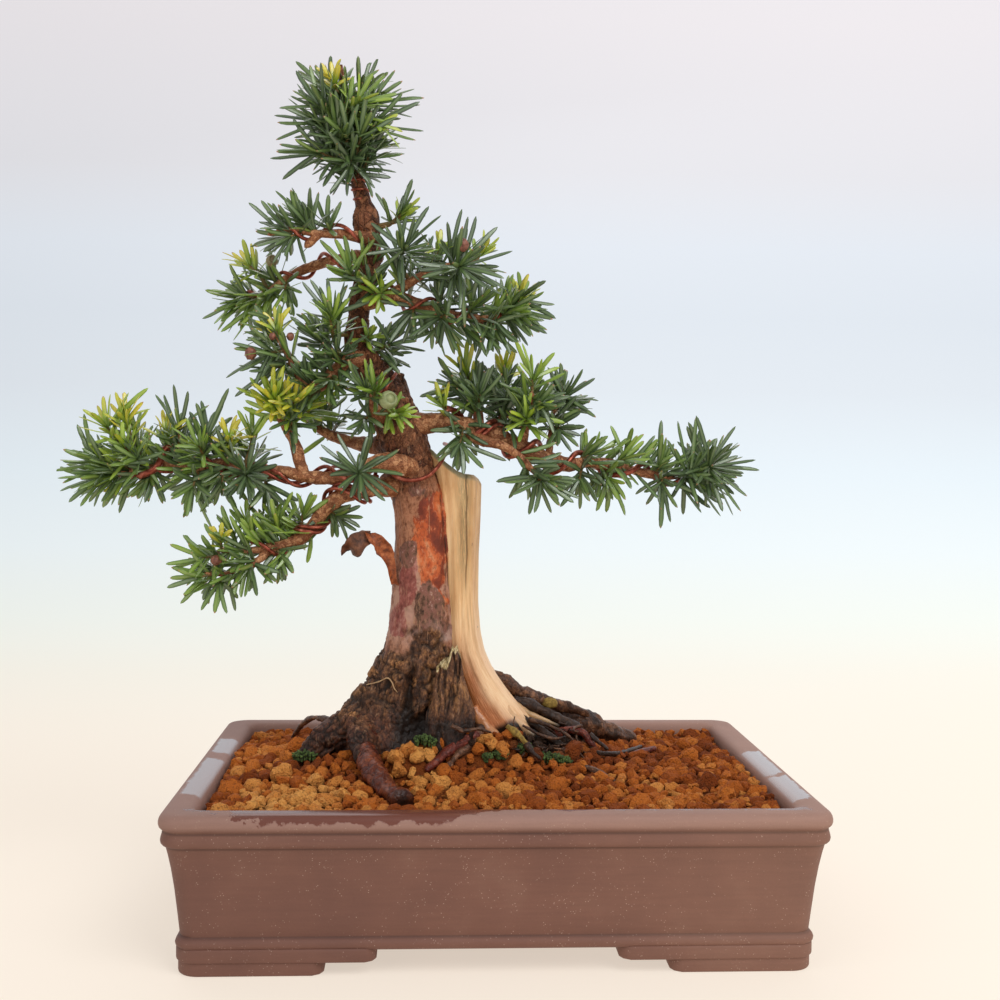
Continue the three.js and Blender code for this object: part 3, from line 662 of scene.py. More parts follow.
def trunk_finish():
    """Living bark: mottled tan and red in the middle, dark fibres at the foot, scales above."""
    made, n, shader = surface("trunk_bark", specular_ior_level=0.3)
    tall = n.place((1.0, 1.0, 1.7))
    flakes = use(n, bark_flakes, vector=n.place((1.0, 1.0, 1.5)), scale=0.3)
    fibre = use(n, wood_fibre, vector=n.place((1.0, 1.0, 3.0)))
    mottle = n.noise(tall, 0.15, 6.0, 0.62)
    small = n.noise(tall, 0.8, 4.0, 0.6)
    ragged = n.less(n.noise(tall, 0.27, 5.0, 0.62), 0.5)
    mixed = n.weighed(small, 0.4, mottle, 0.6)

    def edge(name, fringe):
        """This kind of bark, raised and lowered by noise."""
        return n.weighed(ragged, fringe, n.attribute(name))

    def region(name, softness=0.1, fringe=1.3):
        """1 where this kind of bark shows, with a frayed outline."""
        return n.between(edge(name, fringe), 0.5 - softness, 0.5 + softness)

    body = n.ramp(
        mixed, (0.38, 88, 52, 35), (0.45, 136, 84, 58), (0.54, 184, 128, 96), (0.64, 152, 92, 64),
    )
    z = n.split(n.place())[2]
    haze = n.times(n.window(z, 134.0, 172.0, 9.0), n.between(mottle, 0.4, 0.56, 0.1, 0.7))
    body = n.mix(haze, body, (188, 150, 134))
    blotch = n.noise(n.place((1.0, 1.0, 1.5)), 0.085, 6.0, 0.58)
    red = n.ramp(
        blotch, (0.38, 112, 48, 31), (0.46, 142, 62, 36), (0.51, 184, 84, 42), (0.57, 204, 106, 58),
        (0.63, 210, 140, 98),
    )
    red = n.mix(
        n.times(n.window(blotch, 0.484, 0.496, 0.012), n.between(small, 0.46, 0.58, 0.0, 0.7)), red,
        (214, 150, 108)
    )
    red = n.mix(n.between(small, 0.5, 0.36, 0.0, 0.5), red, (96, 44, 30))
    body = n.mix(region("red"), body, red)
    rose = n.ramp(mixed, (0.38, 112, 54, 46), (0.5, 150, 84, 74), (0.62, 184, 130, 116))
    body = n.mix(region("rose", 0.07), body, rose)
    rim = n.between(n.math("ABSOLUTE", n.less(edge("rose", 1.3), 0.52)), 0.12, 0.03)
    body = n.mix(n.times(rim, 0.5), body, (190, 150, 126))
    scabby = n.weighed(n.noise(tall, 0.5, 6.0, 0.68), 0.7, mottle, 0.3)
    grey = n.ramp(
        scabby, (0.36, 58, 38, 28), (0.45, 104, 72, 54), (0.5, 134, 92, 76), (0.56, 128, 78, 66),
        (0.64, 192, 158, 140),
    )
    pale_foot = n.times(n.between(z, 150.0, 137.0), n.between(mottle, 0.4, 0.56))
    grey = n.mix(n.times(pale_foot, 0.7), grey, (196, 164, 150))
    body = n.mix(region("grey", 0.06, 0.9), body, grey)
    foot = n.ramp(
        n.weighed(n.noise(tall, 0.1, 6.0, 0.66), 0.52, fibre["Fine"], 0.22, small, 0.26),
        (0.40, 50, 30, 20), (0.47, 84, 54, 36), (0.53, 112, 74, 48), (0.6, 158, 112, 70),
    )
    foot = n.mix(
        n.between(z, 108.0, 92.0, 0.0, 0.72), foot, n.ramp(small, (0.36, 42, 20, 14), (0.64, 104, 56, 40))
    )
    scale_tone = n.weighed(flakes["Grain"], 0.8, flakes["Tone"], 0.22)
    head = n.ramp(scale_tone, (0.36, 62, 33, 23), (0.5, 126, 74, 47), (0.72, 176, 120, 84))
    above = n.math("GREATER_THAN", z, 180.0)
    body = n.mix(region("flaky", 0.3, 1.8), body, n.mix(above, foot, head))
    body = n.mix(region("tan", 0.15, 1.1), body, n.ramp(small, (0.38, 116, 74, 44), (0.58, 190, 134, 84)))
    frayed = n.between(n.noise(n.place((1.0, 1.0, 5.0)), 0.5, 5.0, 0.7), 0.57, 0.66)
    low_down = n.between(z, 300.0, 230.0, 0.08, 0.55)
    body = n.mix(n.times(frayed, low_down), body, (182, 138, 104))
    crack = n.times(flakes["Crack"], n.times(n.attribute("flaky"), above))
    crack = n.most(n.times(crack, 0.4), n.times(n.attribute("fissure"), 0.92))
    body = n.mix(crack, body, (22, 13, 9))
    # Painted shade in the trunk's hollows, and darker damp bark
    body = n.mix(n.times(region("damp", 0.3, 0.7), 0.93), body, (26, 17, 12))
    body = n.mix(region("lichen", 0.2, 1.6), body, n.ramp(small, (0.4, 160, 134, 84), (0.6, 234, 214, 168)))
    paint(n, shader, body, n.between(n.attribute("damp"), 0.2, 0.9, 0.58, 0.42))
    smooth = n.weighed(mottle, 0.8, fibre["Height"], 0.35)
    scales = n.times(flakes["Height"], n.weighed(above, 0.5, 0.2))
    relief = n.weighed(n.times(scales, n.attribute("flaky")), 1.2, smooth)
    bump(n, shader, relief, 0.8, 1.0)
    return made


def branch_finish(name, dark, middle, light, flake, rough):
    """Bark of a limb or a root, its colours running along fibres with cracks between flakes."""
    made, n, shader = surface(name, roughness=rough, specular_ior_level=0.3)
    place = n.place()
    flakes = use(n, bark_flakes, vector=place, scale=flake)
    shade = n.weighed(flakes["Grain"], 0.8, flakes["Tone"], 0.25)
    body = n.ramp(shade, (0.32, *dark), (0.5, *middle), (0.7, *light))
    worn = n.between(n.noise(place, 0.13, 3.0), 0.5, 0.66)
    body = n.mix(n.times(worn, 0.5), body, dark)
    body = n.mix(n.times(flakes["Crack"], 0.45), body, dark)
    # Darker where the bark is damp, and painted shade at the cut end of the front root
    body = n.mix(n.attribute("damp"), body, (30, 18, 12))
    paint(n, shader, body)
    bump(n, shader, flakes["Height"], 0.5, 0.35)
    return made


def wood_finish():
    """Bare wood with a long grain, olive streaks, and a polished orange lip at its foot."""
    made, n, shader = surface("bare_wood")
    around, height = n.attribute("around"), n.attribute("height")
    grain = n("ShaderNodeCombineXYZ", {0: around, 1: 0.0, 2: n.times(height, 0.06)}).outputs[0]
    fibre = use(n, wood_fibre, vector=grain)
    fine = n.noise(grain, 2.6, 5.0, 0.7)
    body = n.ramp(
        n.weighed(
            fine, 0.28, n.noise(n.place((1.0, 1.0, 3.0)), 0.09, 4.0, 0.6), 0.45, fibre["Streak"], 0.32
        ),
        (0.36, 178, 122, 74), (0.46, 224, 172, 116), (0.58, 246, 204, 150), (0.76, 255, 232, 194),
    )
    z = n.split(n.place())[2]
    body = n.mix(
        n.times(n.between(z, 165.0, 120.0), 0.6), body,
        n.ramp(fine, (0.3, 232, 168, 118), (0.6, 255, 222, 182))
    )
    bands = n.between(n.noise(grain, 0.3, 3.0, 0.5), 0.5, 0.66)
    body = n.mix(n.times(bands, n.between(z, 112.0, 150.0, 0.14, 0.42)), body, (172, 118, 70))
    knots = n.between(n.noise(n.place((1.0, 1.0, 1.6)), 0.42, 2.0, 0.5), 0.72, 0.78)
    body = n.mix(n.times(knots, 0.6), body, (104, 60, 34))
    olive = n.times(n.attribute("olive"), n.between(fine, 0.36, 0.6))
    body = n.mix(olive, body, (132, 116, 74))
    body = n.mix(
        n.attribute("lip"), body,
        n.ramp(fine, (0.32, 138, 72, 34), (0.5, 190, 112, 62), (0.7, 226, 156, 102))
    )
    body = n.mix(n.attribute("cut"), body, n.ramp(fine, (0.3, 104, 94, 66), (0.7, 160, 150, 112)))
    body = n.mix(n.attribute("dirt"), body, (34, 22, 15))
    paint(n, shader, body, n.between(n.attribute("lip"), 0.1, 0.8, 0.36, 0.16))
    bump(n, shader, n.weighed(fine, 0.7, fibre["Streak"]), 0.5, 0.4)
    return made


def needle_finish():
    """Waxy needles: dark blue-green when old, yellow-green when young, paler underneath."""
    made, n, shader = surface("yew_needles")
    green_foot = n.between(n.attribute("far"), 0.75, 0.1, 1.0, 0.6)
    fresh = n.weighed(n.less(n.attribute("shade"), 0.5), 0.24, n.attribute("fresh"), green_foot)
    top = n.ramp(
        fresh, (0.0, 62, 84, 50), (0.16, 78, 106, 54), (0.42, 114, 148, 42),
        (0.68, 152, 182, 38), (0.92, 220, 202, 52),
    )
    under = n.ramp(
        fresh, (0.0, 130, 150, 96), (0.4, 152, 176, 84), (0.9, 216, 210, 84),
    )
    body = n.mix(n.attribute("under"), top, under)
    rib = n.times(n.attribute("rib"), 0.5)
    body = n.mix(rib, body, n.mix(fresh, (122, 146, 96), (206, 214, 104)))
    tip = n.times(n.between(n.attribute("far"), 0.93, 1.0), n.between(n.attribute("shade"), 0.7, 0.8))
    body = n.mix(tip, body, (176, 120, 84))
    paint(n, shader, body, n.between(n.noise(n.place(), 0.5, 2.0), 0.3, 0.7, 0.3, 0.46))
    shader.inputs["Coat Weight"].default_value = 0.9
    shader.inputs["Coat Roughness"].default_value = 0.24
    return made


def wire_finish():
    """Anodised copper-brown aluminium, rubbed brighter here and there."""
    made, n, shader = surface("training_wire", metallic=0.8)
    place = n.place()
    rubbed = n.noise(place, 0.4, 3.0)
    body = n.ramp(rubbed, (0.35, 122, 58, 45), (0.55, 156, 82, 64), (0.75, 200, 128, 106))
    paint(n, shader, body, n.between(rubbed, 0.3, 0.7, 0.28, 0.42))
    bump(n, shader, n.noise(place, 2.0, 2.0), 0.12, 0.2)
    return made


def simple_finish(name, low, high, size_mm, rough, relief, **settings):
    """Two tones that drift over lumps of size_mm, with a matching relief."""
    made, n, shader = surface(name, roughness=rough, **settings)
    drift = n.noise(n.place(), 1.0 / size_mm, 4.0, 0.6)
    paint(n, shader, n.ramp(drift, (0.35, *low), (0.65, *high)))
    bump(n, shader, drift, 0.6, relief)
    return made


def peel_finish():
    """Peeling bark: orange-brown, dark where it has dried and curled."""
    made, n, shader = surface("curled_bark", roughness=0.55)
    place = n.place()
    drift = n.noise(place, 0.35, 5.0, 0.65)
    light = n.ramp(drift, (0.34, 110, 54, 26), (0.5, 168, 84, 38), (0.66, 206, 120, 66))
    dark = n.ramp(drift, (0.34, 52, 34, 26), (0.66, 112, 76, 56))
    paint(n, shader, n.mix(n.attribute("dark"), light, dark))
    bump(n, shader, n.noise(place, 0.9, 4.0), 0.6, 0.4)
    return made


CLAY = clay_finish()
GRAINS = grain_finish()
TRUNK_BARK = trunk_finish()
LIMB_BARK = branch_finish("branch_bark", (100, 55, 33), (160, 102, 66), (210, 156, 112), 0.42, 0.6)
ROOT_BARK = branch_finish("root_bark", (44, 27, 18), (92, 58, 40), (156, 108, 76), 0.3, 0.42)
FRONT_ROOT = branch_finish("front_root_bark", (46, 16, 9), (92, 38, 22), (142, 78, 50), 0.3, 0.3)
RED_ROOT = branch_finish("red_root", (62, 22, 17), (104, 42, 30), (140, 70, 52), 0.5, 0.3)
BARE_WOOD = wood_finish()
NEEDLES = needle_finish()
WIRE = wire_finish()
SHOOT_SKIN = simple_finish("shoot_skin", (96, 92, 46), (140, 104, 60), 3.0, 0.55, 0.2)
BUD_SCALE = simple_finish("bud_scale", (88, 48, 38), (156, 98, 76), 2.0, 0.45, 0.3)
MOSS = simple_finish("moss", (26, 38, 20), (90, 112, 50), 1.2, 0.9, 0.4)
DRY_FIBRE = simple_finish("dry_fibre", (160, 124, 84), (206, 172, 128), 2.0, 0.6, 0.1)
LICHEN_SKIN = simple_finish("lichen", (104, 80, 28), (164, 134, 58), 1.6, 0.8, 0.4)
CURL_BARK = peel_finish()
SEED_SKIN = simple_finish("seed_skin", (118, 128, 84), (156, 164, 116), 4.0, 0.42, 0.1)
BROWN_SEED_SKIN = simple_finish("brown_seed_skin", (104, 92, 66), (146, 134, 98), 3.0, 0.42, 0.1)
MESH_PLASTIC = simple_finish("mesh_plastic", (28, 28, 28), (44, 44, 44), 2.0, 0.6, 0.1)
CLIP_WIRE = simple_finish("clip_wire", (130, 130, 130), (172, 172, 172), 6.0, 0.35, 0.1, metallic=0.9)


# The camera, the lights and the plain pale set

PIXELS = 1000
FOCAL_PIXELS = 1333.8
SENSOR_WIDTH = 36.0
YAW = math.radians(-3.08)
PITCH = math.radians(1.68)
ROLL = math.radians(0.60)


def make_camera():
    """The camera that the picture was taken with, as the pot's corners give it."""
    right = np.array((math.cos(YAW), math.sin(YAW), 0.0))
    level = np.array((-math.sin(YAW), math.cos(YAW), 0.0))
    up = np.array((0.0, 0.0, 1.0))
    ahead = math.cos(PITCH) * level - math.sin(PITCH) * up
    above = math.sin(PITCH) * level + math.cos(PITCH) * up
    x_axis = math.cos(ROLL) * right + math.sin(ROLL) * above
    y_axis = -math.sin(ROLL) * right + math.cos(ROLL) * above
    data = bpy.data.cameras.new("camera")
    data.sensor_width = SENSOR_WIDTH
    data.lens = FOCAL_PIXELS / PIXELS * SENSOR_WIDTH
    data.clip_start, data.clip_end = 0.01, 50.0
    camera = linked("camera", data)
    place = EYE * MM + TO_FRAME
    axes = np.column_stack((x_axis, y_axis, -ahead, place))
    camera.matrix_world = Matrix([*axes.tolist(), [0, 0, 0, 1]])
    bpy.context.scene.camera = camera


# The soft lights: power in watts, side and place in metres. All aim at the middle of the tree.
LIGHTS = {
    "key": (30.0, 1.5, (1.1, -1.4, 1.8)), "fill": (9.5, 1.8, (-1.6, -1.2, 1.2)),
    "rim": (9.0, 2.0, (-0.3, 1.4, 1.9)),
}
LIGHT_AIM = Vector((0.0, 0.0, 0.2))
SKY_STRENGTH = 0.44


def make_set():
    """A pale floor that sweeps up behind the pot, a bright sky and three soft lights."""
    half_width, front, back, rise, sweep = 7.0, -5.0, 1.0, 5.0, 1.6
    bend = [
        (back + sweep * math.sin(a), sweep - sweep * math.cos(a)) for a in np.linspace(0, math.pi / 2, 24)
    ]
    section = [(front, 0.0), (0.0, 0.0), *bend, (back + sweep, rise)]
    points = [(side * half_width, y, z) for y, z in section for side in (-1, 1)]
    faces = [(2 * k, 2 * k + 1, 2 * k + 3, 2 * k + 2) for k in range(len(section) - 1)]
    mesh = bpy.data.meshes.new("studio_floor")
    mesh.from_pydata(points, [], faces)
    mesh.shade_smooth()
    made, n, shader = surface("studio_paper", roughness=0.9)
    x, y, z = n.split(n("ShaderNodeTexCoord").outputs["Object"])[:3]
    height = n.math("DIVIDE", n.weighed(n.between(y, 0.1, 1.3), 0.1, z), 1.4)
    paper = n.ramp(
        height, (0.0, 252, 240, 225), (0.04, 246, 242, 230), (0.075, 242, 246, 239),
        (0.13, 238, 246, 248), (0.22, 231, 241, 247), (0.34, 224, 231, 238), (0.46, 221, 228, 236),
        (0.58, 223, 229, 237), (0.72, 225, 225, 230), (1.0, 232, 228, 232),
    )
    paint(n, shader, n.mix(0.6, paper, (0, 0, 0)))
    n.fill(shader.inputs["Emission Color"], paper)
    beside = n.between(x, -1.2, 1.2, 0.96, n.between(height, 0.0, 0.6, 1.3, 1.12))
    n.fill(shader.inputs["Emission Strength"], n.times(n.between(height, 0.0, 0.8, 0.55, 0.7), beside))
    mesh.materials.append(made)
    linked("studio_floor", mesh)
    world = bpy.data.worlds.new("sky")
    world.use_nodes = True
    background = world.node_tree.nodes["Background"]
    background.inputs["Color"].default_value = (0.98, 0.99, 1.0, 1.0)
    background.inputs["Strength"].default_value = SKY_STRENGTH
    bpy.context.scene.world = world
    for name, (power, size, place) in LIGHTS.items():
        light = bpy.data.lights.new(name, "AREA")
        light.energy, light.size = power, size
        facing = (LIGHT_AIM - Vector(place)).to_track_quat("-Z", "Y")
        linked(name, light).matrix_world = Matrix.LocRotScale(place, facing, None)
    bpy.context.scene.view_settings.view_transform = "Standard"


make_camera()
make_set()


# The pot


def rectangle_ring(half, height, corner_steps=9, long_steps=26, short_steps=20):
    """A level rounded rectangle as far inside the outline as half is less than OUTLINE."""
    radius = max(4.0, CORNER - 0.25 * (OUTLINE - half))
    half_y = half - INSET
    ring = []
    for quarter, (sx, sy) in enumerate(((1, 1), (-1, 1), (-1, -1), (1, -1))):
        turn = np.pi / 2 * (quarter + np.arange(corner_steps + 1) / corner_steps)
        x = sx * (half - radius) + radius * np.cos(turn)
        y = sy * (half_y - radius) + radius * np.sin(turn)
        ring.extend(zip(x, y))
        steps = long_steps if quarter in (0, 2) else short_steps
        last = np.array(ring[-1])
        reach = np.array(
            ((-2 * (half - radius), 0), (0, -2 * (half_y - radius)))[quarter % 2]
        ) * (1 if quarter < 2 else -1)
        ring.extend(tuple(last + reach * k / steps) for k in range(1, steps))
    flat = np.array(ring)
    return np.column_stack((flat, np.full(len(flat), height)))


# Height of the pot's underside above the table
UNDERSIDE = 11.0
# Half lengths and heights of the wall: out along the underside, up the mouldings of the
# outside, over the rim and down into the cavity.
WALL = [
    (60, 11), (100, 11), (126, 11), (138.6, 11), (140.6, 11.2), (142.2, 12), (143.1, 13.2), (143.3, 14.4),
    (142.9, 15.6), (142.1, 16.5), (141.4, 16.9), (141.2, 17.3), (141.5, 18.2), (142.4, 27), (143.6, 38),
    (144.9, 47), (146.1, 53.5), (146.9, 57), (147.1, 57.9), (147.3, 58.2), (148.3, 58.7), (148.9, 59.6),
    (149.1, 60.8), (148.9, 62.2), (148.5, 63.6), (148.3, 64.8), (148.4, 65.5), (149, 66), (149.6, 66.8),
    (149.9, 68), (149.9, 69.3), (149.6, 70.6), (148.9, 71.8), (147.8, 72.6), (146.2, 73), (143, 73),
    (139.4, 73), (137.6, 72.7), (136.1, 71.9), (135.2, 70.6), (134.8, 69), (134.4, 66), (131, 45),
    (127.4, 26), (126, 22.4), (123, 20), (118, 19), (90, 19), (60, 19),
]


def foot_block(length, width, low, high, inset_by):
    """The outline of one corner foot, its arms along the front and the side."""
    half_x = OUTLINE - inset_by
    half_y = half_x - INSET
    side = length * SIDE_SHARE
    turn = np.linspace(np.pi / 2, 0, 10)
    arc = [(half_x - CORNER + CORNER * math.cos(a), half_y - CORNER + CORNER * math.sin(a)) for a in turn]
    outline = [
        (half_x - length + 5, half_y), (half_x - length / 2, half_y), *arc, (half_x, half_y - side + 5),
        (half_x - 2, half_y - side + 1.5), (half_x - 5, half_y - side), (half_x - width, half_y - side),
        (half_x - width, half_y - width), (half_x - length, half_y - width), (half_x - length, half_y - 5),
        (half_x - length + 1.5, half_y - 2),
    ]
    count = len(outline)
    points = np.array([(x, y, low) for x, y in outline] + [(x, y, high) for x, y in outline])
    faces = [(k, (k + 1) % count, (k + 1) % count + count, k + count) for k in range(count)]
    return points, [*faces, tuple(range(count)), tuple(range(count, 2 * count))]


def boolean(made, tool, operation):
    """Adds a closed object to the piece, or cuts it out of the piece."""
    step = made.modifiers.new("with part", "BOOLEAN")
    step.object, step.operation, step.solver = tool, operation, "EXACT"
    plain(made)
    bpy.data.objects.remove(tool)


def make_pot():
    """The fired pot: a wall that has settled a little in the kiln, four feet and two drains."""
    grid = np.stack([rectangle_ring(half, height) for half, height in WALL])
    above_floor = np.abs(grid[..., 2] - UNDERSIDE) > 0.3
    settle = 0.16 * layers(grid, (38, 38, 26), 3) - 0.05
    centre = np.array((0.0, 0.0, 1.0))
    inwards = -unit(grid * (1 - centre)) * np.maximum(settle, 0)[..., None]
    grid = grid + inwards * above_floor[..., None]
    made = mesh_object("pot_fired", shell(grid), CLAY)
    for mirror in itertools.product((1, -1), repeat=2):
        for block in (
            foot_block(
                TIER_LENGTH, FOOT_WIDTH + 1, FOOT_HEIGHT, FOOT_HEIGHT + TIER_HEIGHT + 1.5, FOOT_INSET - 0.8
            ),
            foot_block(FOOT_LENGTH, FOOT_WIDTH, 0.0, FOOT_HEIGHT + 1.0, FOOT_INSET),
        ):
            points = block[0] * (mirror[0], mirror[1], 1)
            tool = mesh_object("foot", (points, block[1]), CLAY)
            soft = tool.modifiers.new("soft edges", "BEVEL")
            soft.width, soft.segments = FOOT_EDGE * MM, 3
            soft.limit_method, soft.angle_limit = "ANGLE", math.radians(40)
            boolean(made, plain(tool), "UNION")
    for x in DRAIN_PLACES:
        line = np.array([(x, 0, z) for z in (5.0, 10.5, 11.0, 12.2, 17.8, 19.0, 19.5, 25.0)])
        radii = DRAIN_RADIUS + np.array((1.2, 1.2, 1.0, 0.0, 0.0, 1.0, 1.2, 1.2))
        drain = mesh_object("drain", shell(tube_grid(line, radii, 40)[0]), CLAY)
        boolean(made, drain, "DIFFERENCE")
    made.data.set_sharp_from_angle(angle=math.radians(50))
    return finished(made, ["pot"])


make_pot()


# The tree's routes, as the frame has them: [x, z, y, radius]. Rings of the trunk and of the
# bare wood are level ovals: height, left, right, front and back.

TRUNK_RINGS = [
    (56, -78, 0, -26, 22), (72, -84, 4, -31, 25), (84, -80, 2, -30, 25), (92, -77, -3, -27, 24),
    (100, -72.5, -7, -25, 22), (110, -67, -12, -22.5, 20), (120, -61.5, -15, -20.5, 18.5),
    (130, -56.5, -17, -19, 18), (140, -53.3, -18, -18, 17), (155, -51.2, -18, -17, 17),
    (180, -50.5, -18.5, -16.5, 16.5), (200, -51, -20.5, -16, 16), (212, -53, -23.5, -16, 16),
    (224, -56, -28, -16, 16), (236, -59.5, -32.5, -15.5, 15.5), (248, -60.5, -36, -14, 14),
    (260, -62, -42, -11.5, 11.5),
]
LEFT_FLARE = [(-58, 102, -6, 14), (-73, 90, -10, 11), (-86, 82, -13, 8), (-98, 73, -16, 4)]
LEADER = [
    (-50, 246, 0, 11), (-53, 258, 0, 10.5), (-59, 268, -1, 9.5), (-66, 278, -2, 8), (-70.5, 290, -2, 6.6),
    (-69.5, 302, -2, 6), (-67, 314, -2, 6.5), (-64.5, 327, -1, 5.4), (-63.5, 338, 0, 5), (-65, 349, 0, 6),
    (-68, 361, 0, 4.2), (-72, 375, 0, 3), (-75, 392, 0, 2.4), (-77, 410, 0, 1.8), (-79.5, 428, 0, 1.1),
]
DARK_STUB = [(-50, 252, 2, 8), (-49.5, 262, 3, 6.5), (-50, 272, 3, 4)]
STUB_RINGS = [
    (60, -8, 26, -14, 12), (84, -12, 26, -15, 14), (92, -14, 23, -15, 14), (100, -17, 16, -14, 14),
    (110, -20, 8, -13, 13), (120, -22.5, 1, -12.5, 12.5), (130, -24.5, -3.6, -12, 12),
    (140, -25.5, -5.8, -12, 12), (155, -26, -7, -12, 12), (180, -27, -6.8, -12, 12),
    (200, -28.5, -6, -12, 12), (216, -31, -5.6, -12, 12), (228, -33, -6.5, -12, 12),
    (240, -36, -9, -11, 11),
]
STUB_CUT = [
    (-40, 244), (-33, 235), (-25, 227), (-19, 222.5), (-14, 221), (-9.5, 220.5), (-6.5, 218), (-4, 211)
]
ROOTS = {
    "root_front": [
        (-66, 90, -16, 8), (-65, 80, -30, 6.6), (-62, 72, -43, 5.6), (-57, 63, -56, 5.6),
        (-51, 56, -68, 5.8), (-45, 51, -79, 6.2),
    ],
    "root_right": [
        (-2, 112, 10, 5), (10, 105, 18, 6.4), (24, 98, 27, 7), (38, 93, 36, 7.2), (52, 90, 44, 6.6),
        (64, 86, 53, 5.6), (76, 83, 62, 4),
    ],
    "root_arch": [
        (31, 74, 4, 2.6), (31, 81, 3, 2.6), (36, 87, 2, 2.6), (43, 88.5, 0, 2.5), (49, 86.5, -2, 2.3),
        (53, 81, -3, 2), (58, 74.5, -3, 1.8), (67, 74, 3, 1.6), (77, 76.5, 12, 1.5), (87, 79, 22, 1.3),
    ],
    "root_front_red": [(-8, 85, -24, 3), (-15, 82, -30, 2.6), (-23, 76, -37, 2.4), (-33, 67, -48, 2.1)],
    "root_front_dark": [(-5, 90, -20, 2.2), (-9, 82, -27, 2.1), (-16, 76, -35, 1.9), (-22, 69, -43, 1.5)],
    "root_left_thin": [
        (-77, 90, 6, 2), (-84, 93.5, 14, 1.5), (-90, 95, 22, 1.4), (-96, 92, 36, 1.3), (-102, 84, 52, 1.1),
    ],
}
# Each branch is a list of routes: the branch itself, then the limbs that fork from it.
BRANCHES = {
    "branch_lower_left": [[
        (-46, 215, -5, 5.6), (-60, 213.5, -14, 4.8), (-68, 212, -18, 4.4), (-78, 209, -20, 4),
        (-86, 202, -20, 3.7), (-92, 194, -20, 3.4), (-98, 187.5, -21, 3.3), (-106, 184, -22, 2.8),
        (-116, 182, -24, 2.4), (-127, 180.5, -26, 1.9), (-140, 181, -28, 1.3),
    ], [
        (-112, 183, -23, 2.4), (-118, 177, -27, 2.1), (-124, 173, -29, 1.9), (-133, 169, -31, 1.6),
        (-147, 169, -32, 1.1),
    ]],
    "branch_left": [[
        (-41, 223, -10, 5.6), (-51, 226, -20, 5), (-60, 226, -23, 4.6), (-70, 221, -21, 4.2),
        (-80, 218.5, -18, 3.9), (-90, 218.5, -16, 3.8), (-98, 219.5, -15, 3.6), (-107, 221.5, -13, 3.2),
        (-118, 219.5, -11, 3), (-131, 223, -9, 2.9), (-142, 225, -7, 2.7), (-152, 222, -5, 2.5),
        (-165, 225, -2, 2.3), (-180, 222, 1, 2), (-196, 218.5, 4, 1.4),
    ], [
        (-96.5, 219, -15, 3.4), (-99, 227, -14, 3), (-101.5, 236, -13, 2.8), (-106, 244, -12, 2.4),
        (-110, 252, -12, 1.8), (-112.5, 260, -12, 1.2),
    ], [(-66, 222, -20, 2.4), (-68, 222, -28, 1.8), (-68, 222, -35, 1.2)]],
    "branch_right": [[
        (-42, 246, -2, 6.5), (-30, 247.5, -6, 5.2), (-16, 246.5, -9, 4.8), (-4, 242.5, -9, 4.8),
        (8, 238, -9, 4.6), (18, 233, -8, 4.4), (28, 229.5, -8, 4.3), (38, 226.5, -8, 3.8),
        (50, 227.5, -7, 3.1), (62, 226.5, -4, 2.8), (74, 223.5, 0, 2.4), (88, 221, 4, 2),
        (101, 222, 8, 1.7), (113, 225, 11, 1.2),
    ], [
        (-15, 245, -9, 3.4), (-7, 239, -16, 2.8), (4, 236, -20, 2.6), (13, 231, -22, 2.1),
        (20, 224, -24, 1.6), (25, 218, -26, 1.1),
    ],
        [(-7, 243, -9, 2.8), (-8, 253, -4, 2.4), (-11, 264, 3, 1.7)],
        [(3, 240, -9, 2.8), (5, 251, 0, 2.4), (6, 266, 11, 1.7)],
        [(15, 234, -8, 2.4), (17, 248, -11, 2), (20, 264, -13, 1.4)],
        [(29, 229, -8, 2), (29.5, 240, -4, 1.5), (31, 253, 3, 1.3), (36, 262, 8, 1)],
    ],
    "branch_mid_left": [[
        (-64, 280, -3, 5.4), (-75, 277, -9, 4.4), (-83, 271, -13, 3.8), (-90, 265, -16, 3.2),
        (-96, 264, -18, 2.6), (-100, 271, -18, 2.1), (-105, 281, -17, 1.8), (-110, 290, -16, 1.4),
        (-114, 300, -15, 1),
    ]],
    "branch_upper_right": [[
        (-66, 309, -4, 4.6), (-57, 311, -8, 4), (-48, 310.5, -10, 3.6), (-38, 307.5, -11, 3.2),
        (-28, 304, -11, 2.8), (-18, 302, -10, 2.4), (-8, 301, -9, 2), (2, 301.5, -8, 1.8),
        (9, 306, -8, 1.5), (15, 314, -8, 1.1),
    ], [
        (-53, 311, -9, 3.2), (-46, 317, -13, 2.6), (-38, 322, -15, 2.1), (-29, 326, -16, 1.7),
        (-19, 329, -17, 1.2),
    ]],
    "branch_second_left": [[
        (-63, 331, 0, 4), (-73, 331, 3, 3.2), (-81, 329.5, 6, 2.8), (-90, 327, 9, 2.7), (-98, 324, 11, 2.5),
        (-106, 319.5, 13, 2.2), (-114, 313.5, 15, 1.9), (-122, 310, 16, 1.5), (-130, 309, 17, 1.1),
    ]],
    "branch_upper_left": [[
        (-63, 341, -2, 3.8), (-71, 341.5, -6, 2.7), (-80, 343, -9, 2.3), (-89, 342.5, -11, 2.1),
        (-96, 343.5, -13, 1.8), (-105, 344.5, -14, 1.5), (-116, 341.5, -15, 1),
    ], [(-90, 342.5, -11, 2.1), (-97, 335.5, -13, 2.1)]],
    "branch_top_front": [[(-58, 250, -8, 3.6), (-62, 256, -18, 2.6), (-62.5, 264, -22, 1.8)]],
    "branch_left_back": [
        [
            (-55, 234, 4, 5), (-68, 236, 13, 3.6), (-80, 239, 20, 2.8), (-90, 244, 24, 2.2),
            (-99, 251, 26, 1.5)
        ]
    ],
}
LEFT_CROSSINGS = (0.4, 2.9, 7.2, 9.9, 12.35)
LOWER_CROSSINGS = (2.2, 5.15, 7.6)
RIGHT_CROSSINGS = (1, 2.75, 4.75, 6.9, 9.75, 11.8)
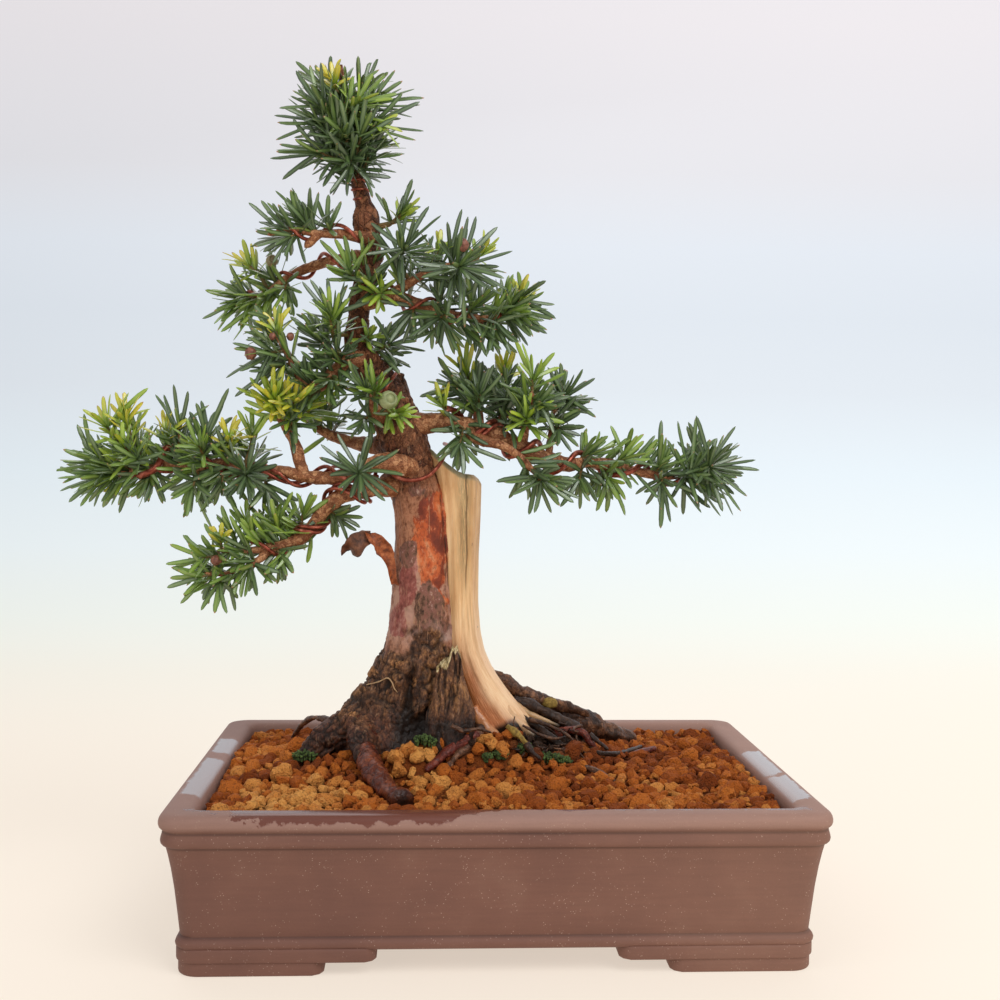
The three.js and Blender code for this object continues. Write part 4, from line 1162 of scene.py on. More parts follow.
# Each wire: its branch, where it crosses the front, from and to where, turn, strand and radius.
WIRES = {
    "wire_left_inner": ("branch_left", LEFT_CROSSINGS, 2.2, 10.7, -1, 0, THIN_WIRE),
    "wire_left_outer": ("branch_left", LEFT_CROSSINGS, 2, 13.1, -1, 50, THIN_WIRE),
    "wire_lower_left_inner": ("branch_lower_left", LOWER_CROSSINGS, 1.3, 6.3, -1, 0, THIN_WIRE),
    "wire_lower_left_outer": ("branch_lower_left", LOWER_CROSSINGS, 1.3, 8.6, -1, 50, THIN_WIRE),
    "wire_right_inner": ("branch_right", RIGHT_CROSSINGS, 1.4, 3.6, 1, -45, THIN_WIRE),
    "wire_right_outer": ("branch_right", RIGHT_CROSSINGS, 1.4, 12.1, 1, 0, THICK_WIRE),
    "wire_second_left": ("branch_second_left", (2, 4.6, 6.8), 1.1, 7.6, -1, 0, THIN_WIRE),
    "wire_upper_left": ("branch_upper_left", (1.3, 4.9), 0.9, 4.9, -1, 0, THIN_WIRE),
    "wire_upper_right": ("branch_upper_right", (0.8, 3, 5, 7), 1.2, 7.2, 1, 0, THIN_WIRE),
}
TRUNK_WIRE = [
    (-54, 228, -13), (-52.5, 222, -18.5), (-49, 219, -20.5), (-42, 217.5, -21), (-34, 219.5, -19.5),
    (-28, 225, -17), (-24.5, 231.5, -12.5), (-23.5, 235.5, -5), (-25, 236.5, 4),
]
# More of the wire round the trunk: across the dead stub. And a thick end on the left branch.
STUB_WIRE = [(-58, 261, -8), (-56, 263, -11), (-53.5, 267, -10), (-51, 271, -6), (-49, 273.5, 2)]
TIP_WIRE = [
    (-184, 218, -3), (-178, 219, -8), (-171.5, 222.5, -10), (-168.5, 228, -9), (-167, 232, -7),
    (-163, 233, -4), (-159, 231, -1)
]
# The thin wire round the leader's neck: its radius, and where it crosses the front
NECK_WIRE = 0.7
NECK_CROSSINGS = (9.95, 10.3, 10.65, 11.0)
TIP_WIRE_RADIUS = 1.8


# The trunk


def ring_table(rings, step):
    """Heights step apart, and the left, right, front and back of the trunk at each, smoothed."""
    table = np.array(rings, float)
    heights = np.arange(table[0, 0], table[-1, 0] + step / 2, step)
    reach = max(int(4 / step), 1)
    kernel = np.hanning(2 * reach + 3)[1:-1]
    kernel /= kernel.sum()
    rows = []
    for k in range(1, 5):
        values = np.interp(heights, table[:, 0], table[:, k])
        rows.append(np.convolve(np.pad(values, reach, mode="edge"), kernel, mode="valid"))
    return heights, np.array(rows)


def ovals(edges, angle):
    """Points of level ovals whose left, right, front and back are given, at these angles."""
    left, right, front, back = edges
    x = (left + right) / 2 + (right - left) / 2 * np.cos(angle)
    return x, (front + back) / 2 + (back - front) / 2 * np.sin(angle)


def attached(made, others):
    """Adds other objects' meshes to the piece."""
    with bpy.context.temp_override(active_object=made, selected_editable_objects=[made, *others]):
        bpy.ops.object.join()


def column_part(rings, sides=64, step=2.0):
    """A closed column through level ovals."""
    heights, rows = ring_table(rings, step)
    angle = (2 * np.pi * np.arange(sides) / sides)[None]
    x, y = ovals([row[:, None] for row in rows], angle)
    return shell(np.stack((x, y, np.broadcast_to(heights[:, None], x.shape)), axis=-1))


def limb_part(route, sides=20, per_span=6, grow=0.0):
    """A closed smooth limb along a route."""
    line, radii = route_line(route, per_span)
    return shell(tube_grid(line, radii + grow, sides)[0])


def knob(x, z, y, reach_x, reach_y, reach_z):
    """A rounded swelling of the wood."""
    turn = np.linspace(0.12, np.pi - 0.12, 14)
    centre = seen(x, z, y)
    angle = 2 * np.pi * np.arange(20) / 20
    rows = [
        centre + np.column_stack((
            reach_x * math.sin(t) * np.cos(angle), reach_y * math.sin(t) * np.sin(angle),
            np.full(20, -reach_z * math.cos(t)),
        )) for t in turn
    ]
    return shell(np.stack(rows))


def ellipse_region(x, z, centre, half, ragged):
    """1 inside an upright oval of the picture plane, 0 outside, with a ragged edge."""
    distance = np.hypot((x - centre[0]) / half[0], (z - centre[1]) / half[1])
    return np.clip(0.5 + (1 - distance + ragged) * 1.6, 0, 1)


def make_slab():
    """The broken plate of bark that stands in front of the bare wood, its top edge torn."""
    low, high = 74, 131
    heights = (low, 86, 97, 105, 115, 124, high)
    left = (-31, -34, -33, -30, -28.5, -27.5, -26.4)
    right = (-13, -8, -7.5, -10.3, -13.5, -15, -16.2)
    u = np.linspace(0, 1, 34)
    v = np.linspace(0, 1, 52)[:, None]
    jagged = 1.7 * layers(np.column_stack((u * 34, 0 * u, 0 * u)), 2.2, 91)
    torn = 122.5 + 8.5 * ease(0.35, 0.72, u) - 4.0 * ease(0.9, 1.0, u) + jagged
    z = low + v * (torn[None] - low)
    x = np.interp(z, heights, left) * (1 - u) + np.interp(z, heights, right) * u
    depth = -20.5 - (high - z) * 0.2 - 3.0 * (1 - (2 * u - 1) ** 2)
    way = np.stack((x, 0 * x, z), axis=-1)
    split = bell(layers(way, (3.6, 1, 24), 94) / 0.16)
    fluted = 1.3 * layers(way, (3.2, 3.2, 26), 92) + 0.5 * wander(way, (1.3, 1, 9), 93) + 1.6 * split
    places = zip(x.ravel(), z.ravel(), (depth + fluted).ravel())
    front = np.stack([seen(*place) for place in places]).reshape(*x.shape, 3)
    back = front + (0.0, 8.0, 0.0)
    part = shell(np.concatenate((front, back[:, ::-1]), axis=1))
    split = np.append(np.concatenate((split, split[:, ::-1]), axis=1).ravel(), (0.0, 0.0))
    top = ease(3.2, 0.6, torn[None] - z)
    top = np.append(np.concatenate((top, top[:, ::-1]), axis=1).ravel(), (0.0, 1.0))
    wet = np.append(np.tile(ease(100, 90, z + 4 * wander(way, 5, 95)), 2).ravel(), (1.0, 0.0))
    none = np.zeros(len(top))
    return mesh_object(
        "slab", part, TRUNK_BARK, flaky=none + 1, red=none, rose=none, grey=none,
        damp=0.2 + 0.5 * wet, fissure=split, lichen=top,
    )


BEHIND_SLAB = [
    (-22, 129, -13, 2), (-22, 116, -14, 6), (-22, 104, -15, 8), (-20, 92, -16, 10), (-18, 74, -16, 11)
]
# Swellings of the trunk where limbs leave it: x, z, y, reach across, in depth and up
TRUNK_KNOBS = [
    (-47, 223, -10, 8, 8, 6), (-55, 236, 4, 7, 9, 7), (-45, 246, 0, 9, 9, 7.5), (-66, 280, -2, 8, 8, 5.5),
    (-65, 310, -2, 7, 7, 5), (-63, 331, 0, 6.5, 6, 4.5), (-66, 350, -1, 7.2, 6.5, 10),
    (-68, 84, -22, 5, 7, 5), (-52, 216, -2, 7, 10, 6), (-57, 252, -2, 7, 9, 6),
]
# Where grey, rose and red bark show, in the picture: centre, half size, share and raggedness
GREY_BARK = [
    ((-32.5, 151), (7.5, 17), 1, 1), ((-31, 140), (11, 6), 1, 1), ((-43, 180), (4.6, 8), 0.75, 1),
    ((-36, 212), (6, 7), 0.8, 2),
]
ROSE_BARK = [((-42, 166), (4.8, 13.5), 1, 1), ((-47.5, 144), (5.5, 8), 1, 1)]
RED_BARK = [((-30, 188), (12, 34), 1, 1.2)]
# Tan plates of the foot, written in the same way
TAN_PLATES = [
    ((-47, 123), (4.4, 2.8), 1, 1.6), ((-29.6, 101.5), (2.4, 4.4), 1, 1.6),
    ((-39.6, 113), (1.7, 3.2), 1, 1.6), ((-61, 118.5), (3.4, 2.2), 1, 1.6), ((-71, 97), (2.4, 1.6), 1, 1.6),
]
# Creases across the foot, as points of the picture plane
TRUNK_CREASES = [
    ((-75, 101.5), (-70, 105), (-62, 106.2), (-55, 103.5), (-49, 98)),
    ((-54, 116), (-47, 118.6), (-42, 115.5), (-38.5, 109)),
]
# The scar of a lost root on the foot: its middle and its half size
SCAR = (-67.4, 85, 2.9, 3.1)
# Furrows of the trunk's foot: heights, where they run, how wide and how deep
TRUNK_GROOVES = [
    ((92, 108, 126), (-31, -30.5, -29), 1.2, 1.0), ((98, 112, 128), (-45, -41, -37), 1.3, 1.0),
    ((90, 104, 126), (-72, -66, -56), 1.4, 0.8), ((90, 104, 122), (-58, -54, -47), 1.1, 0.7),
    ((84, 94, 106), (-84, -77, -69), 1.2, 0.7), ((100, 112, 130), (-37, -35, -33), 0.9, 0.6),
]


def make_trunk():
    """The living trunk, its parts grown together, with the relief and the kinds of its bark."""
    parts = [
        column_part(TRUNK_RINGS), limb_part(BEHIND_SLAB), limb_part(LEFT_FLARE), limb_part(LEADER[:12]),
        limb_part(DARK_STUB), limb_part(ROOTS["root_front"][:3], grow=1.0),
        *(knob(*row) for row in TRUNK_KNOBS),
    ]
    made = fused("trunk_grown", parts, TRUNK_GRAIN, TRUNK_BARK)
    points, normals = points_of(made.data)
    x, z = shown_at(points)
    front = ease(6, -6, points[:, 1])
    ragged = 0.3 * layers(points, (6, 6, 12), 11)

    def patches(rows):
        """The strongest of several patches on the side that the camera sees."""
        return front * np.maximum.reduce([
            share * ellipse_region(x, z, centre, half, fray * ragged) for centre, half, share, fray in rows
        ])

    # Flaky bark above and at the foot, and smooth bark of three kinds between them
    head = ease(206, 226, z + 12 * wander(points, 10, 21))
    foot = ease(140, 128, z + 10 * wander(points, 9, 22))
    flaky = np.maximum(head, foot)
    grey = patches(GREY_BARK)
    rose_behind = 0.8 * ease(0.1, 0.5, layers(points, (9, 9, 22), 31)) * (1 - front)
    rose = np.maximum(patches(ROSE_BARK), rose_behind * ease(128, 150, z) * ease(212, 190, z))
    red_behind = ease(0.0, 0.45, layers(points, (10, 10, 40), 33)) * (1 - front) * ease(135, 155, z)
    red = np.maximum(patches(RED_BARK), red_behind)
    tan = foot * patches(TAN_PLATES)

    # Hollows: the dark wedge between the trunk's two feet, furrows, the seam beside the wood
    wedge_at = np.interp(z, (86, 100, 113, 128), (-44, -43, -42, -38))
    wedge_half = np.interp(z, (84, 92, 100, 113, 128), (9, 7.5, 4.2, 1.8, 0.9))
    wedge = bell((x - wedge_at) / wedge_half) * front * ease(130, 112, z)
    under = front * ease(101, 94, z + 4 * wander(points, 8, 34)) * ease(-47, -40, x) * ease(4, -6, x)
    furrow = front * sum(
        share * bell((x - np.interp(z, heights, places) - 0.8 * wander(points, 5, 35)) / wide)
        * ease(heights[0] - 6, heights[0] + 6, z) * ease(heights[-1] + 6, heights[-1] - 6, z)
        for heights, places, wide, share in TRUNK_GROOVES
    )
    seam_at = np.interp(z, (150, 173, 212, 225), (-21, -21.8, -26.5, -30))
    seam = bell((x - seam_at) / 0.6) * front * ease(150, 168, z)
    broken = 0.5 * ease(256, 266, z) * ease(-56, -53, x) * ease(282, 270, z)
    low_wet = 0.45 * ease(-50, -62, x) * ease(100, 84, z)

    # How damp the bark is, with painted shade in the hollows, and its cracks
    damp = np.clip(np.maximum.reduce([
        wedge * ease(124, 104, z), under, 0.5 * furrow, ease(90, 78, z) * 0.5, 0.6 * seam, broken, low_wet,
    ]), 0, 1)
    bent = points + 2.0 * np.stack([wander(points, 6, k) for k in (41, 42, 43)], axis=-1)
    edge, tone = plates(bent, (5.0, 5.0, 10), 44)
    crack = ease(0.2, 0.0, edge)
    fissure = np.maximum(
        bell(layers(bent, (9, 9, 11), 58) / 0.07), bell(layers(bent, (15, 15, 24), 59) / 0.07),
    )
    fissure = fissure * (foot + 0.5 * head + 0.22 * (1 - flaky))
    scar_x, scar_z, half_x, half_z = SCAR
    from_scar = np.hypot((x - scar_x) / half_x, (z - scar_z) / half_z)
    scar = np.maximum(bell((from_scar - 1) / 0.2), 0.95 * ease(0.75, 0.35, from_scar))
    fissure = np.maximum(fissure, front * scar)
    for crease in TRUNK_CREASES:
        across, level = np.array(crease).T
        off = z - np.interp(x, across, level) - 0.7 * wander(points, 3, 36)
        within = ease(across[0] - 2, across[0] + 2, x) * ease(across[-1] + 2, across[-1] - 2, x)
        fissure = np.maximum(fissure, 0.85 * front * bell(off / 1.4) * within)

    # The relief of all of it, mm along the normals
    relief = 0.7 * wander(points, 24, 51) - 1.5 * fissure + 0.4 * ease(0.4, 0.6, tan)
    relief += head * (0.35 * layers(points, (6, 6, 9), 52) + 0.4 * tone - 0.7 * crack)
    scabs, height = plates(bent * (1, 1, 0.7), (7.5, 7.5, 9), 45)
    relief += foot * (0.4 * layers(points, (4.5, 4.5, 6), 56) + 0.9 * layers(points, (10, 10, 15), 57))
    relief += foot * (0.9 * height * ease(0.02, 0.2, scabs) - 0.6 * ease(0.12, 0.0, scabs))
    fissure = np.maximum(fissure, 0.7 * foot * ease(0.08, 0.02, scabs))
    relief += (1 - flaky) * (
        0.45 * wander(points, (6, 6, 50), 53) + 0.25 * layers(points, (3.5, 3.5, 8), 54)
    )
    relief += 0.5 * ease(0.45, 0.55, grey) + 0.3 * ease(0.45, 0.55, rose) * front
    relief += 0.3 * ease(0.4, 0.6, red + ragged) - 4.2 * wedge - 3.6 * under - 0.8 * furrow - 0.9 * seam
    relief += 1.2 * foot * wander(points, (13, 13, 40), 55)
    relief *= 1 - 0.5 * ease(300, 360, points[:, 2])
    set_points(made.data, points + normals * relief[:, None])
    tagged(made.data, flaky=flaky, red=red, rose=rose, grey=grey, damp=damp, fissure=fissure, tan=tan)

    # The thin top of the leader and the broken plate are skins of their own
    line, radii = route_line(LEADER[9:], 10)
    grid, out = tube_grid(line, radii, 14)
    grid = grid + out * (0.35 * layers(grid, (3, 3, 5), 61) * np.minimum(radii / 3, 1)[:, None])[..., None]
    part = shell(grid)
    upper = mesh_object("leader", part, TRUNK_BARK, flaky=np.ones(len(part[0])))
    attached(made, [upper, make_slab()])
    return finished(made, ["trunk"])


# Strands of bare wood that run out over the roots
WOOD_STRANDS = [
    [
        (-3, 118, 2, 4.6), (5, 108, 3, 3.8), (13, 101, 3, 2.7), (21, 96.5, 3, 1.7), (30, 93, 2, 1.1),
        (36, 90.5, 1, 0.7)
    ],
    [(2, 104, -7, 4), (10, 96, -9, 3.4), (17, 90, -10, 2.6), (23, 85, -12, 1.8)],
    [(-9, 100, -11, 3.4), (-4, 92, -14, 3.2), (2, 86.5, -17, 2.8), (8, 82, -20, 2)],
]


def make_stub():
    """The bare wood stub: grooves and a drying crack that follow its grain, and a cut top."""
    sides, rows = 168, 200
    angle = (np.pi / 2 + 2 * np.pi * np.arange(sides) / sides)[None]
    heights, edges = ring_table(STUB_RINGS, 1.0)
    cut_x, cut_z = np.array(STUB_CUT).T
    top_edges = [np.interp(228, heights, row) for row in edges]
    top_x, _ = ovals(top_edges, angle)
    top = np.interp(top_x, cut_x, cut_z)
    share = np.linspace(0, 1, rows)[:, None]
    base = STUB_RINGS[0][0]
    z = base + share * (top - base)
    x, y = ovals([np.interp(z, heights, row) for row in edges], angle)
    grid = np.stack((x, y, z), axis=-1)
    round_way = np.stack((np.cos(angle) + 0 * z, np.sin(angle) + 0 * z, np.zeros_like(z)), axis=-1)
    ring = np.stack((30 * np.cos(angle) + 0 * z, 30 * np.sin(angle) + 0 * z, z), axis=-1)
    shown_x, shown_z = shown_at(grid)
    front = ease(2, -4, y)
    foot = ease(128, 92, z)

    # Grooves along the grain, the drying crack and a second, shallower one
    groove = (0.5 - 0.3 * foot) * layers(ring, (7, 7, 130), 71) + 0.15 * foot * layers(
        ring, (9, 9, 60), 72, 2
    )
    groove += 0.8 * foot * wander(ring, (15, 15, 200), 73)
    centre_line = -13 + 0.5 * wander(ring, (900, 900, 9), 74)
    crack = bell((shown_x - centre_line) / 0.3) * front * ease(154, 172, shown_z) * ease(226, 221, shown_z)
    second = bell((shown_x + 15.5) / 0.5) * front * ease(118, 130, shown_z) * ease(206, 168, shown_z)
    groove += -1.7 * crack - 0.45 * second
    worn = ease(2.6, 0.0, top - z)
    grid = grid + round_way * (groove - 0.9 * worn)[..., None]
    grid[-1] += (grid[-1].mean(0) - grid[-1]) * 0.02

    # The cut top, in rings that close towards its middle
    caps = []
    for inward in (0.1, 0.25, 0.45, 0.65, 0.85):
        ring_cap = grid[-1] + (grid[-1].mean(0) - grid[-1]) * inward
        ring_cap[:, 2] = np.interp(
            ring_cap[:, 0], cut_x, cut_z
        ) - 0.8 * inward + 0.3 * wander(ring_cap, 2.5, 75)
        caps.append(ring_cap)
    cap_rows = np.stack(caps)
    full = np.vstack((grid, cap_rows))

    # Where the grain runs, and where the wood is olive, wet, weathered or dirty
    spread = np.broadcast_to(np.linspace(0, 76, sides)[None], full.shape[:2])
    level = np.vstack((z, np.broadcast_to(z[-1], cap_rows.shape[:2])))
    px, pz = shown_at(full)
    olive = 0.85 * bell((px + 14.5) / 3.6) * ease(152, 185, pz)
    olive = olive + 0.5 * bell((px + 21) / 2.2) * ease(190, 150, pz)
    olive = np.maximum(
        olive, 0.5 * ease(0.2, 0.7, layers(full, (8, 8, 50), 76)) * ease(-2, 4, full[..., 1])
    )
    left_edge = np.interp(pz, (88, 92, 95, 103, 117, 130), (5, 0, -5.8, -10.7, -15.6, -20.7))
    from_edge = (px - left_edge) / (1 + 0.6 * ease(110, 94, pz))
    lip = 0.96 * ease(12.5, 5.0, from_edge) * ease(144, 112, pz)
    cut_band = np.vstack((ease(3.4, 1.8, top - z + 0.6 * wander(grid, 3, 77)), np.ones(cap_rows.shape[:2])))
    cut_mask = cut_band * np.clip(0.35 + ease(-8, -16, px), 0, 1)
    ground = np.interp(px, (-10, 2.5, 9, 16, 29), (80, 89, 92, 95, 93.5))
    dirt = ease(2.0, -3.0, pz - ground + 3 * wander(full, 5, 78))
    dirt = np.maximum(dirt, np.vstack((0.75 * crack, np.zeros(cap_rows.shape[:2]))))
    flat = [
        np.concatenate((a.ravel(), (a[0].mean(), a[-1].mean())))
        for a in (spread, level, olive, lip, cut_mask, dirt)
    ]
    names = ("around", "height", "olive", "lip", "cut", "dirt")
    made = mesh_object("stub_bare", shell(full), BARE_WOOD, **dict(zip(names, flat)))

    strands = []
    for number, route in enumerate(WOOD_STRANDS):
        line, radii = route_line(route, 8)
        grid, out = tube_grid(line, radii, 16)
        grid = grid + out * (0.5 * layers(grid, (3, 3, 12), 80 + number) * (radii / 3)[:, None])[..., None]
        part = shell(grid)
        far = np.append(np.repeat(np.linspace(0, 1, len(line)), 16), (0.0, 1.0))
        round_it = np.append(np.tile(np.arange(16) * 1.1, len(line)), (0.0, 0.0))
        strands.append(mesh_object(
            f"strand_{number}", part, BARE_WOOD, around=round_it, height=far * 60,
            olive=(0.9 if number == 0 else 0.4) * ease(0.0, 0.4, far),
            lip=0.35 * (1 - far) + 0.6 * (number == 2), cut=0 * far, dirt=0.9 * ease(0.75, 1.0, far),
        ))
    attached(made, strands)
    return finished(made, ["deadwood"])


trunk = make_trunk()
make_stub()


# Branches and roots


def limb_skin(route, sides, seed, rough, swell=0.0, spacing=1.1, tip=True, ridged=0.0, slim=1.0):
    """A limb with knobbly bark, swollen where it leaves the trunk and rounded at its end."""
    line, radii = route_line(route, 8)
    line, at, length = evenly(line, spacing, 4)
    radii = np.interp(at, length, radii) * slim + swell * np.exp(-at / 7.0)
    if tip:
        radii = radii * np.sqrt(np.clip((length[-1] - at) / (1.2 * radii[-1]), 0.02, 1))
    grid, out = tube_grid(line, radii, sides)
    size = np.clip(radii.mean() * 1.6, 2.0, 8.0)
    lumps = 0.16 * layers(grid, (size * 1.6,) * 3, seed) + 0.09 * layers(grid, (size * 0.5,) * 3, seed + 7)
    turn = 2 * np.pi * np.arange(sides) / sides
    skin = np.stack(
        np.broadcast_arrays(radii[:, None] * np.cos(turn), radii[:, None] * np.sin(turn), at[:, None]),
        axis=-1
    )
    lumps = lumps + ridged * 0.12 * layers(skin, (size * 0.5, size * 0.5, 11), seed + 3)
    joints = 0.09 * np.sin(at / 5.2 + 1.7 * np.sin(at / 9.0 + seed))[:, None]
    return shell(grid + out * (radii[:, None] * rough * (lumps + joints))[..., None])


def make_branches():
    """Each branch with the limbs that fork from it."""
    for index, (name, routes) in enumerate(BRANCHES.items()):
        parts = [
            limb_skin(
                route, 16 if k == 0 else 12, 100 + 10 * index + k, 0.8, 0.7 if k == 0 else 0.3, slim=0.96
            )
            for k, route in enumerate(routes)
        ]
        made = mesh_object(f"{name}_grown", merged(parts), LIMB_BARK)
        finished(made, [name])


# Ridges that lie over the right root, and how damp each one is
RIDGE_DAMP = (0.1, 0.8, 0.85)
BARK_RIDGES = [
    [
        (-1, 119, 6, 3), (7, 114.5, 8, 3.4), (18, 107.5, 14, 3.6), (30, 103, 20, 3.4), (42, 99.5, 28, 3),
        (52, 96, 34, 2)
    ],
    [(12, 104, 4, 2.6), (24, 100, 6, 3.4), (36, 94, 8, 3), (47, 88, 12, 2.2)],
    [(8, 98, -2, 2.4), (20, 93, -6, 2.6), (30, 86, -10, 2.2), (38, 79, -14, 1.6)],
]
# The finish of the roots that differ from the rest, and the radius above which one is thick
ROOT_FINISH = {"root_arch": RED_ROOT, "root_front_red": RED_ROOT, "root_front": FRONT_ROOT}
THICK_ROOT = 4.0


def make_roots():
    """The roots above the soil. The front one is smooth and cut off, the right one ridged."""
    for index, (name, route) in enumerate(ROOTS.items()):
        thick = max(row[3] for row in route) > THICK_ROOT
        smooth = name == "root_front"
        sides, rough, ridged = (40, 1.2, 0.5 if smooth else 1.2) if thick else (12, 1.7, 0.0)
        skins = [limb_skin(
            route, sides, 200 + index, rough, 0.8, 0.8, ridged=ridged, slim=0.92 if smooth else 1.0,
            tip=not smooth,
        )]
        damp = [np.zeros(len(skins[0][0]))]
        # The cut end of the front root is darkened: painted shade, as if it were hollow
        if smooth:
            damp[0][-2 * sides - 2:] = 0.5
            damp[0][-1] = 1.0
        if name == "root_right":
            points = skins[0][0]
            damp[0] = 0.8 * ease(0.0, 0.3, layers(points, (9, 9, 7), 260)) * ease(101, 96, points[:, 2])
            ridges = [
                limb_skin(row, 16, 230 + k, 1.5, 0.0, 0.7, ridged=1.2) for k, row in enumerate(BARK_RIDGES)
            ]
            damp += [np.full(len(skin[0]), share) for skin, share in zip(ridges, RIDGE_DAMP)]
            skins += ridges
        finish = ROOT_FINISH.get(name, ROOT_BARK)
        made = mesh_object(f"{name}_grown", merged(skins), finish, damp=np.concatenate(damp))
        finished(made, [name])


make_branches()
make_roots()


# The wires


def winding(route, crossings, start, end, turn, strand, radius):
    """The centre line of a wire that crosses the front of its limb at each of the crossings."""
    per_span = 24
    line = spline([seen(x, z, y) for x, z, y, _ in route], per_span)
    tangents = unit(np.gradient(line, axis=0))
    places = np.arange(len(line)) / per_span
    spans = np.diff(crossings)
    count = max(int(len(crossings) * (end - start) * 9), 24)
    where = np.linspace(start, end, count)
    index = np.clip(np.searchsorted(crossings, where, side="right") - 1, 0, len(spans) - 1)
    turns = index + (where - np.asarray(crossings, float)[index]) / spans[index]
    centre = np.column_stack([np.interp(where, places, line[:, k]) for k in range(3)])
    ahead = unit(np.column_stack([np.interp(where, places, tangents[:, k]) for k in range(3)]))
    front = unit(np.array((0.0, -1.0, 0.0)) + ahead * ahead[:, 1:2])
    side = np.cross(front, ahead)
    angle = (2 * np.pi * turn * turns + math.radians(strand))[:, None]
    stem = np.interp(where, np.arange(len(route)), [row[3] for row in route])[:, None]
    return centre + (front * np.cos(angle) + side * np.sin(angle)) * (stem + radius + WINDING_GAP)


def wire_part(line, radius, sides=12):
    """A round wire along a line, its two ends cut square with a broken edge."""
    fine = evenly(line, 0.9, 8)[0]
    grid, _ = tube_grid(fine, np.full(len(fine), radius), sides)
    ends = []
    for end, inner in ((0, 1), (-1, -2)):
        outward_step = unit(fine[end] - fine[inner]) * radius * 0.15
        ends.append(fine[end] + (grid[end] - fine[end]) * 0.82 + outward_step)
    return shell(np.vstack((ends[0][None], grid, ends[1][None])))


def laid_wire(route, radius=THIN_WIRE):
    """A wire through given places."""
    return wire_part(spline([seen(*place) for place in route], 12), radius)


def make_wires():
    """The wires wound round their limbs, and the loose ones that go by places."""
    for name, (carrier, *turns) in WIRES.items():
        line = winding(BRANCHES[carrier][0], *turns)
        made = mesh_object(f"{name}_wound", wire_part(line, turns[-1]), WIRE)
        finished(made, [name])
    neck = [(x, z, y, radius - 1.5) for x, z, y, radius in LEADER]
    neck_line = winding(neck, NECK_CROSSINGS, NECK_CROSSINGS[0], 10.7, 1, 0, NECK_WIRE)
    parts = [laid_wire(TRUNK_WIRE), wire_part(neck_line, NECK_WIRE), laid_wire(STUB_WIRE)]
    finished(mesh_object("wire_trunk_wound", merged(parts), WIRE), ["wire_trunk"])
    finished(mesh_object("wire_left_tip", laid_wire(TIP_WIRE, TIP_WIRE_RADIUS), WIRE), [])


make_wires()


# Needles. Each shoot: how fresh it is (0 old, 1 new), its needles' length, the places of its
# stem, and where the tips of needles show that stand out from it.

